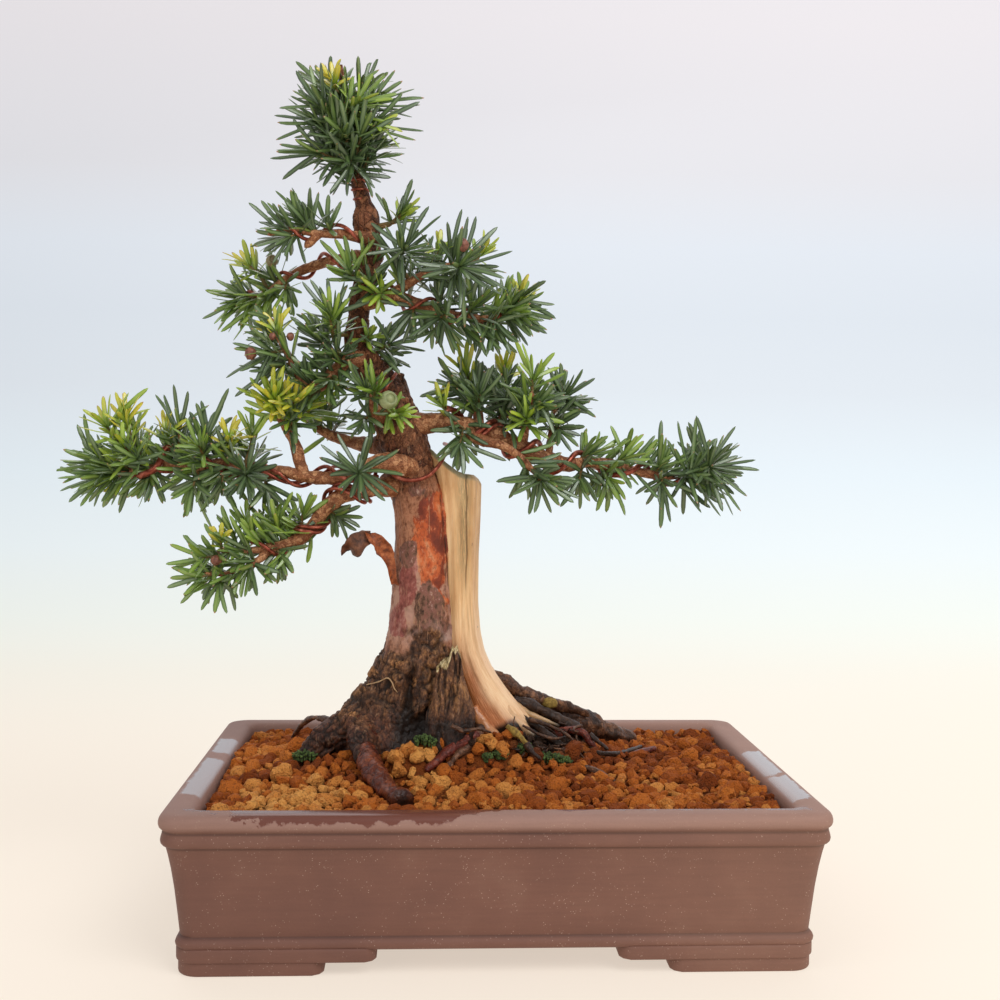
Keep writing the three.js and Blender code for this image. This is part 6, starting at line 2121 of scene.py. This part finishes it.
def lone_needles(stem, reach, tips, sign):
    """Needles from a stem to the places where their tips show: foot, heading and length."""
    made = []
    base_x, base_z = shown_at(stem)
    deepest = 9.0
    for number, (x, z) in enumerate(tips):
        flat = np.hypot(base_x - x, base_z - z)
        k = int(np.argmin(np.abs(flat - 0.88 * reach)))
        foot = stem[k]
        away = math.sqrt(max((1.05 * reach) ** 2 - flat[k] ** 2, 0.0))
        away = min(away, deepest) * (sign if number % 3 else -0.4 * sign)
        tip = seen(x, z, foot[1] + away)
        made.append((foot, tip - foot))
    return made


def bristle_needles(rows):
    """Needles on the limbs: foot, heading and freshness, more across the limb than along it."""
    made = []
    for limb, fork, start, end, count, long, new, lean in rows:
        route = LEADER if limb == "leader" else BRANCHES[limb][fork]
        line, radii = route_line(route, 8)
        ahead = unit(np.gradient(line, axis=0))
        at = (rng.uniform(start, end, count) * 8).astype(int)
        around = unit(rng.normal(size=(count, 3)) + np.array(lean) * 0.9)
        around = unit(around - ahead[at] * np.sum(around * ahead[at], axis=1)[:, None])
        heading = unit(around + ahead[at] * rng.uniform(0.25, 1.1, (count, 1)) + np.array(lean) * 0.35)
        reach = long * rng.uniform(0.72, 1.1, (count, 1))
        feet = line[at] + around * radii[at][:, None] * 0.8
        made.extend(zip(feet, heading * reach, new + rng.uniform(-0.1, 0.14, count)))
    return made


def make_foliage():
    """Each tuft: twigs, needles round its shoots' stems, and the needles placed one by one."""
    low, high = np.array(cad_box)
    for number, (name, shoots) in enumerate(SHOOTS.items()):
        points, edges, axis, share, reach, fresh, twigs, lone = [], [], [], [], [], [], [], []
        for new, long, places, tips in shoots:
            stem = spline([seen(*place) for place in places], 6)
            way = unit(np.gradient(stem, axis=0))
            offset = len(points)
            points.extend(stem)
            edges.extend((offset + k, offset + k + 1) for k in range(len(stem) - 1))
            axis.extend(way)
            share.extend(np.linspace(0, 1, len(stem)))
            reach.extend([0.94 * long * MM] * len(stem))
            fresh.extend([new] * len(stem))
            twigs.append(twig_part(stem))
            sign = -1.0 if places[-1][2] <= places[0][2] else 1.0
            for foot, heading in lone_needles(stem, long, tips, sign):
                lone.append((foot, heading, new))
        lone.extend(bristle_needles(BRISTLES.get(name, ())))
        made = grown(
            f"{name}_needles", STEM_NEEDLES, np.array(points), edges, 10 + number, NEEDLES,
            axis=np.array(axis), share=share, reach=reach, fresh=fresh,
        )
        extras = [mesh_object(f"{name}_twigs", merged(twigs), SHOOT_SKIN)]
        if lone:
            heading = np.array([row[1] for row in lone])
            faces = np.array((0.0, -0.8, 0.5)) + rng.uniform(-0.45, 0.45, (len(lone), 3))
            extras.append(grown(
                f"{name}_tips", LONE_NEEDLES, np.array([row[0] for row in lone]), [], 40 + number, NEEDLES,
                heading=heading, face=faces, reach=np.linalg.norm(heading, axis=1) * MM,
                fresh=[row[2] for row in lone],
            ))
        attached(made, extras)
        places = np.zeros(len(made.data.vertices) * 3)
        made.data.vertices.foreach_get("co", places)
        inside = np.clip(places.reshape(-1, 3), low, high)
        made.data.vertices.foreach_set("co", inside.ravel())
        made.data.update()
        finished(made, [name])
    for used in NEEDLE_PATTERNS:
        bpy.data.objects.remove(used)


make_foliage()


# Soil

# Crumbs piled against the foot of the tree: x, y, reach along x and y, height
PILES = [
    (-43, -41, 13, 8, 11), (-17, -29, 12, 5.5, 13), (9, -24, 13, 8, 12), (28, -16, 14, 9, 4),
    (46, -6, 18, 12, 2), (-78, -24, 14, 10, 2),
]
# Large grains that lie where the picture shows them: x, z, radius
LARGE_GRAINS = [
    (-53, 82.6, 5.0), (-48, 85.7, 4.4), (-48, 73.4, 4.8), (-46.5, 67.7, 4.2), (-38.8, 81.6, 4.0),
    (-34.1, 78.5, 3.6), (-29.8, 77.5, 3.2), (-30.5, 83.7, 2.6), (-13, 88.3, 2.4), (-8.4, 89.9, 2.0),
    (-5.8, 78.5, 3.6), (-2.4, 83.7, 4.4), (2.5, 88.3, 4.2), (12.5, 89.9, 3.6), (0.9, 80.6, 3.2),
    (54, 88.0, 4.0), (6.6, 78, 3.6), (-38, 74.4, 3.6), (-43, 78, 4.2), (-57.9, 77, 3.8), (-108, 66, 5.6),
    (-104, 74, 4.6),
]


def soil_top(x, y):
    """Height of the soil: a low mound with piles of crumbs against the roots."""
    level = SOIL_EDGE + SOIL_MOUND * bell((x + 20) / 95, y / 55)
    return level + sum(high * bell((x - cx) / rx, (y - cy) / ry) for cx, cy, rx, ry, high in PILES)


# Where the soil is black with rotted leaves, in the picture: x, z, reach across and up
HUMUS_ZONES = ((32, 82, 20, 8), (-22, 92, 13, 3.5), (20, 93, 10, 3.5), (-12, 80, 7, 4))


def humus_at(points):
    """How much rotted leaf there is where the camera sees these points."""
    x, z = shown_at(points)
    return sum(bell((x - cx) / rx, (z - cz) / rz) for cx, cz, rx, rz in HUMUS_ZONES)


def on_soil(x, z, radius):
    """Where a grain of this radius rests on the soil so that it shows at x, z."""
    for y in np.arange(-90.0, 90.0, 0.5):
        place = seen(x, z, y)
        if place[2] <= soil_top(place[0], y) + 0.4 * radius:
            return (*place, radius)
    return (*seen(x, z), radius)


def make_soil_bed():
    """The bed of fine soil under the grains: its top follows the mound, its sides the pot."""
    rings = [rectangle_ring(121.4, 19.3), rectangle_ring(126.4, 24.0), rectangle_ring(133.8, 64.0)]
    edge = rectangle_ring(133.8, 0.0)
    for share in np.linspace(1.0, 0.02, 56):
        ring = edge * share
        ring[:, 2] = soil_top(ring[:, 0], ring[:, 1]) - 2.2 + 0.7 * wander(ring, 5, 301)
        rings.append(ring)
    part = shell(np.stack(rings))
    count = len(part[0])
    dark = ease(0.25, 0.6, humus_at(part[0]))
    # The bed lies under the grains and gets painted shade all over
    made = mesh_object(
        "soil_bed", part, GRAINS, tone=np.full(count, 0.2), humus=dark, deep=np.full(count, 0.6)
    )
    return finished(made, ["soil"])


def grain_pattern(name, seed):
    """One angular, lumpy grain with a radius of about 1."""
    work = bmesh.new()
    bmesh.ops.create_icosphere(work, subdivisions=2, radius=1.0)
    points = np.array([v.co for v in work.verts])
    own = np.random.default_rng(seed)
    for _ in range(6):
        way = unit(own.normal(size=3))
        reach = own.uniform(0.5, 0.8)
        over = np.maximum(points @ way - reach, 0)
        points = points - over[:, None] * way * 0.9
    points = points * (1 + 0.3 * wander(points + seed * 7.0, 0.6, seed)[:, None])
    points += own.normal(size=points.shape) * 0.05
    points *= own.uniform(0.78, 1.22, 3)
    for vert, place in zip(work.verts, points):
        vert.co = place
    mesh = bpy.data.meshes.new(name)
    work.to_mesh(mesh)
    work.free()
    made = pattern(name, mesh)
    mesh.set_sharp_from_angle(angle=math.radians(38))
    return made


ROOT_LINES = [route_line(route, 8) for route in ROOTS.values()]


def strew(radii, tries, taken, overlap):
    """Places grains of the given radii on the soil, clear of each other and of the roots."""
    made = []
    for radius in radii:
        for _ in range(tries):
            x, y = rng.uniform(-132, 132), rng.uniform(-92, 92)
            if abs(x) > 133.2 - radius * 0.8 or abs(y) > 93.2 - radius * 0.8:
                continue
            z = soil_top(x, y) + rng.uniform(-1.6, 1.5) - 0.35 * radius
            place = np.array((x, y, z))
            if radius > 2.3 and humus_at(place) > 0.42:
                continue
            cell = (int(x // 10), int(y // 10))
            near = [
                g for i in (-1, 0, 1) for j in (-1, 0, 1) for g in taken.get((cell[0] + i, cell[1] + j), ())
            ]
            if any((g[0] - x) ** 2 + (g[1] - y) ** 2 < (overlap * (g[3] + radius)) ** 2 for g in near):
                continue
            if any(
                (np.linalg.norm(line - place, axis=1) < radii_of + 0.4 * radius).any()
                for line, radii_of in ROOT_LINES
            ):
                continue
            row = (x, y, z, radius)
            taken.setdefault(cell, []).append(row)
            made.append(row)
            break
    return np.array(made)


# The grains: how many tries each gets, how near they may lie, and their tree's seed
GRAIN_SIZES = (("grains_coarse", 12, 0.84, 1), ("grains_fine", 24, 0.72, 2), ("grains_small", 24, 0.66, 3))
COARSE_COUNT, FINE_COUNT, SMALL_COUNT = 900, 1900, 900
# How many of the coarse grains are larger still
BIGGEST = 110
# Patches of dry, pale grains: x, y, reach along x and y
PALE_PATCHES = ((-82, -62, 26, 20), (72, -84, 14, 9), (-100, -84, 18, 9), (-38, -46, 13, 12))


def grain_tones(places, laid_here):
    """How pale each grain is, and how black with rotted leaves."""
    own = hashed(np.round(places * 10), 502)
    drift = 0.5 + 0.4 * layers(places * (1, 1, 0), 34, 501) + 0.55 * own
    x, y = places[:, 0], places[:, 1]
    pale = sum(bell((x - cx) / rx, (y - cy) / ry) for cx, cy, rx, ry in PALE_PATCHES)
    tone = 0.2 * laid_here + 0.32 + 0.46 * (drift - 0.5) + 0.36 * pale
    tone = tone - 0.03 * ease(-10, 60, y) - 0.07 * ease(10, 80, x)
    rotten = 2.2 * humus_at(places) - 0.55 + 0.5 * hashed(np.round(places * 10), 503)
    return np.clip(tone, 0.02, 0.98), (1 - laid_here) * np.clip(rotten, 0, 1)


def make_grains():
    """Coarse, fine and small grains over the bed, the large ones first."""
    patterns = [grain_pattern(f"grain_{k}", 400 + k) for k in range(6)]

    def layout(n, start):
        points = n("GeometryNodeMeshToPoints", {"Mesh": start["Geometry"]}).outputs[0]
        turned = chance(n, start["Seed"], (0, 0, 0), (6.283, 6.283, 6.283))
        return set_out(n, patterns, points, start["Seed"], turned, named(n, "size"))

    tree = scatter_tree("strewn_grains", (), layout)
    coarse = np.sort(3.0 + 2.1 * rng.power(0.55, COARSE_COUNT))[::-1]
    fine = np.sort(rng.uniform(1.7, 3.1, FINE_COUNT))[::-1]
    small = np.sort(rng.uniform(1.0, 1.8, SMALL_COUNT))[::-1]
    coarse[:BIGGEST] *= 1.14
    taken = {}
    for x, y, z, radius in (on_soil(*row) for row in LARGE_GRAINS):
        taken.setdefault((int(x // 10), int(y // 10)), []).append((x, y, z, radius))
    laid = np.array([row for rows in taken.values() for row in rows])
    for (name, tries, overlap, seed), radii in zip(GRAIN_SIZES, (coarse, fine, small)):
        rows = np.vstack((laid, strew(radii, tries, taken, overlap)))
        laid_here = np.arange(len(rows)) < len(laid)
        laid = laid[:0]
        tone, humus = grain_tones(rows[:, :3], laid_here)
        made = grown(
            name, tree, rows[:, :3], [], seed, GRAINS, size=rows[:, 3] * MM, tone=tone, humus=humus
        )
        points = points_of(made.data)[0]
        # Painted shade on the parts of grains that lie low among the others
        tagged(made.data, deep=ease(0.6, -1.8, points[:, 2] - soil_top(points[:, 0], points[:, 1])))
        finished(made, [])
    for used in patterns:
        bpy.data.objects.remove(used)


make_soil_bed()
make_grains()


# Moss, the peeling bark, the seeds and the fittings

# Patches of moss: x, z, y, reach across, in depth and up
MOSS_PATCHES = {
    "moss_left": (-95, 76, -18, 6, 5, 3),
    "moss_middle": (-34, 83, -32, 6, 4, 4),
    "moss_right": (35, 72, -18, 8, 6, 4.5),
}
# More moss of the right patch: x, z, reach across, in depth and up
MORE_MOSS = [
    (31, 74, 7, 4, 3.4), (38, 73, 4, 3, 2.6), (6, 77, 3, 3, 2), (-1, 75, 2, 2, 2), (18, 80, 3.4, 3, 2.4),
    (24, 77, 3, 3, 2), (58, 79.5, 1.6, 1.6, 1.6),
]
# A stem of moss: its radii from the ground up, and how many stems a patch has
MOSS_STEMS = 70
MOSS_RADII = (0.42, 0.42, 0.46, 0.5, 0.62, 0.7, 0.66, 0.5, 0.34, 0.16)


def make_moss():
    """Each patch: short stems that lean outwards over a low dome."""
    for index, (name, patch) in enumerate(MOSS_PATCHES.items()):
        parts = []
        own = np.random.default_rng(600 + index)
        patches = [patch]
        if name == "moss_right":
            patches += [(x, z, on_soil(x, z, 1.0)[1], *reach) for x, z, *reach in MORE_MOSS]
        for number in range(MOSS_STEMS * len(patches)):
            x, z, y, half_x, half_y, half_z = patches[number % len(patches)]
            angle, share = own.uniform(0, 2 * np.pi), math.sqrt(own.uniform(0, 1))
            dx, dy = half_x * share * math.cos(angle), half_y * share * math.sin(angle)
            dz = half_z * math.sqrt(max(1 - share**2, 0.05)) * 0.8
            foot = seen(x, z, y) + np.array((dx, dy, dz - 1.6))
            lean = unit(np.array((dx / half_x, dy / half_y, 0.9)) + own.normal(size=3) * 0.25)
            long = own.uniform(1.2, 2.2)
            line = spline([foot - (0, 0, 2.4), foot, foot + lean * long * 0.5, foot + lean * long], 3)
            parts.append(shell(tube_grid(line, np.array(MOSS_RADII) * own.uniform(0.8, 1.3), 6)[0]))
        made = mesh_object(f"{name}_tuft", merged(parts), MOSS)
        finished(made, [name])


# Twigs and torn roots that lie about: [x, z, y, radius]
LITTER = [
    [(19, 81, -32, 1.5), (22, 77, -35, 1.1), (27, 73, -38, 0.7)],
    [(50, 69, -32, 1.2), (57, 66, -37, 1.7), (66, 61, -42, 0.9)],
    [(52, 86, -2, 1.3), (57, 82, -5, 1.1), (62, 78, -8, 0.8)],
    [(17, 91, -14, 0.9), (26, 86, -17, 0.8), (33, 84, -17, 0.7), (40, 85, -13, 0.5)],
    [(-20, 91, -37, 1.2), (-14, 88, -37, 1.0), (-6, 89, -35, 0.9), (1, 87, -33, 0.7)],
    [(20, 94, -8, 1.1), (30, 91, -12, 1.0), (40, 86, -16, 0.8), (47, 79, -18, 0.6)],
]
# A long rootlet that lies on the soil: x, z, radius
LONG_ROOTLET = [
    (46, 86.5, 1.1), (51, 81.5, 1.3), (57, 76.4, 1.3), (65, 76.0, 1.1), (72.6, 77.6, 1.0), (80, 80, 0.8),
    (87, 82.2, 0.5),
]
# How many torn rootlets lie about the foot of the right root
ROOTLETS = 46
# A root grown over with olive lichen, and a lump of it on the right root: x, z, y, radius
OLIVE_ROOT = [(9, 90.5, -23, 1.2), (12, 88, -26, 1.7), (16, 84.5, -30, 1.7), (20, 80.5, -33, 1.2)]
# A pale fibre on the bark: x, z, how far it stands off the bark, and its radius
PALE_FIBRE = [
    (-64, 112, -0.4, 0.2), (-58, 113.4, 0.5, 0.3), (-53, 115.4, 1.0, 0.32), (-51, 113.4, 1.0, 0.32),
    (-49.6, 110, 0.5, 0.3), (-48, 108, -0.4, 0.2)
]
LICHEN = (31, 102.5, 13, 4.2)


def make_litter(trunk):
    """Twigs and rootlets on the soil, a fibre on the trunk's bark, and the lichen."""
    lying = [(x, z, on_soil(x, z, 1.0)[1] - 8, radius) for x, z, radius in LONG_ROOTLET]
    skins = [
        limb_skin(route, 12, 240 + k, 1.6, 0.0, 0.9, ridged=0.8) for k, route in enumerate([*LITTER, lying])
    ]
    own = np.random.default_rng(620)
    for _ in range(ROOTLETS):
        x, z = own.uniform(14, 50), own.uniform(75, 92)
        start = np.array(on_soil(x, z, 1.0)[:3]) + (0, 0, 0.4)
        way = unit(own.normal(size=3) * (1.0, 0.7, 0.35))
        bend = unit(own.normal(size=3)) * 2.0
        long = own.uniform(5, 11)
        middle = start + way * long * 0.5 + bend * (1, 1, 0.4)
        end = start + way * long + bend * (0, 0, -0.6)
        line = spline([start, middle, end], 5)
        skins.append(shell(tube_grid(line, np.linspace(own.uniform(0.5, 0.95), 0.25, len(line)), 7)[0]))
    shares = [own.choice((0.2, 0.5, 0.75)) for _ in skins]
    shares[len(LITTER)] = 0.8
    damp = np.concatenate([np.full(len(skin[0]), share) for skin, share in zip(skins, shares)])
    made = mesh_object("litter_of_roots", merged(skins), ROOT_BARK, damp=damp)
    bark = points_of(trunk.data)[0]
    bark_x, bark_z = shown_at(bark)
    route = []
    for x, z, off, radius in PALE_FIBRE:
        near = bark[np.hypot(bark_x - x, bark_z - z) < 1.5]
        route.append((x, z, near[:, 1].min() - off, radius))
    line, radii = route_line(route, 8)
    fibre = mesh_object("fibre", shell(tube_grid(line, radii, 8)[0]), DRY_FIBRE)
    olive = mesh_object("olive_root", limb_skin(OLIVE_ROOT, 14, 270, 1.4, 0.0, 0.8), LICHEN_SKIN)
    attached(made, [fibre, olive])
    finished(made, [])
    x, z, y, radius = LICHEN
    part = knob(x, z, y, radius, radius * 0.8, radius * 0.75)
    points = part[0]
    centre = points.mean(0)
    points = centre + (points - centre) * (1 + 0.16 * layers(points, 2.4, 250)[:, None])
    lump = mesh_object("lichen_lump", (points, part[1]), LICHEN_SKIN)
    finished(lump, [])


# Closed buds among the needles: x, z, y, reach across and up
BUDS = [
    (-16.5, 338, -34, 2.7, 3.3), (-124, 281, -22, 2.8, 3.0), (-141, 175.5, -35, 2.6, 2.4),
    (-104, 290, -22, 1.8, 2.0), (-113, 290, -23, 1.6, 1.8)
]


def make_buds():
    """Buds that are still closed, their scales as lumps that lean towards the light."""
    parts = []
    for number, (x, z, y, across, up) in enumerate(BUDS):
        points, faces = knob(x, z, y, across, across, up)
        centre = points.mean(0)
        lean = unit(np.array((0.3, -0.6, 0.8)))
        scales = 0.14 * np.abs(layers(points, 1.6, 280 + number)) + 0.12 * (unit(points - centre) @ lean)
        parts.append((centre + (points - centre) * (1 + scales[:, None]), faces))
    made = mesh_object("closed_buds", merged(parts), BUD_SCALE)
    finished(made, [])


# Both edges of the two leaves that the peel has split into: [x, z, y] on the left, then right.
PEEL_LEAVES = [
    (0.25, [
        ((-52, 164.5, -10), (-48, 164, -9)), ((-53.5, 168, -11.5), (-50, 168, -9.5)),
        ((-54.5, 172, -12.5), (-50.5, 173, -10)), ((-56.5, 176, -13.5), (-51, 177.5, -10.5)),
        ((-60, 180, -14.5), (-51.5, 181.5, -11.5)), ((-61.5, 184, -16), (-53, 185, -13)),
        ((-64.5, 187, -17), (-56, 187.5, -14.5)), ((-66, 190, -16), (-61, 189.5, -14)),
    ]),
    (0.85, [
        ((-62, 185, -16), (-63, 190.5, -14)), ((-65, 182, -18), (-66.5, 191, -15)),
        ((-67, 179, -18.5), (-70, 190, -17)), ((-69, 179.5, -16), (-73, 188, -19)),
        ((-71, 182, -13), (-76, 184, -18)), ((-72, 183, -12), (-77, 180, -16)),
    ]),
]


def make_bark_curl():
    """A thin peel of bark that stands off the trunk, split into two leaves that curl."""
    leaves = []
    for number, (dark, rows) in enumerate(PEEL_LEAVES):
        left = spline([seen(*row[0]) for row in rows], 6)
        right = spline([seen(*row[1]) for row in rows], 6)
        across = np.linspace(0, 1, 13)[None, :, None]
        sheet = left[:, None] * (1 - across) + right[:, None] * across
        jag = 0.9 * layers(sheet, 3.0, 611 + number)
        sheet = sheet + (right - left)[:, None] * ((across - 0.5) * 0.14 * jag[..., None])
        way = unit(np.cross(right - left, np.gradient(left, axis=0)))[:, None]
        sheet = sheet + way * (1.6 * (across - 0.5) ** 2 * 4 + 0.35 * jag[..., None])
        ring = np.concatenate((sheet, (sheet + way * 0.55)[:, ::-1]), axis=1)
        part = shell(ring)
        leaves.append(mesh_object(f"leaf_{number}", part, CURL_BARK, dark=np.full(len(part[0]), dark)))
    made = leaves[0]
    attached(made, leaves[1:])
    made.name = "bark_curl_peeling"
    return finished(made, ["bark_curl"])


def make_seed(name, x, z, y, radius, skin):
    """An unripe seed: a round body in a fleshy cup with a raised ring round its mouth."""
    profile = [
        (0.05, -1.0), (0.45, -0.93), (0.8, -0.62), (0.98, -0.15), (0.97, 0.3), (0.84, 0.62), (0.68, 0.78),
        (0.58, 0.8), (0.52, 0.72), (0.5, 0.62), (0.42, 0.74), (0.26, 0.88), (0.06, 0.94),
    ]
    centre = seen(x, z, y)
    way = unit(np.array((0.35, -0.85, 0.2)))
    line = np.array([centre + way * radius * h for _, h in profile])
    side = unit(np.cross(way, (0.0, 0.0, 1.0)))
    other = np.cross(way, side)
    angle = 2 * np.pi * np.arange(28) / 28
    grid = line[:, None] + radius * np.array([r for r, _ in profile])[:, None, None] * (
        np.cos(angle)[None, :, None] * side + np.sin(angle)[None, :, None] * other
    )
    made = mesh_object(f"{name}_ripening", shell(grid), skin)
    return finished(made, [name])


make_moss()
make_litter(trunk)
make_buds()
make_bark_curl()
make_seed("seed_top", -54, 258.5, -31, 4.6, SEED_SKIN)
make_seed("seed_left", -113.5, 328.5, 2, 3.1, BROWN_SEED_SKIN)

for node_name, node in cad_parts.items():
    if node_name.startswith(("drain_mesh", "mesh_clip")):
        node.data.materials.clear()
        node.data.materials.append(MESH_PLASTIC if node_name.startswith("drain") else CLIP_WIRE)
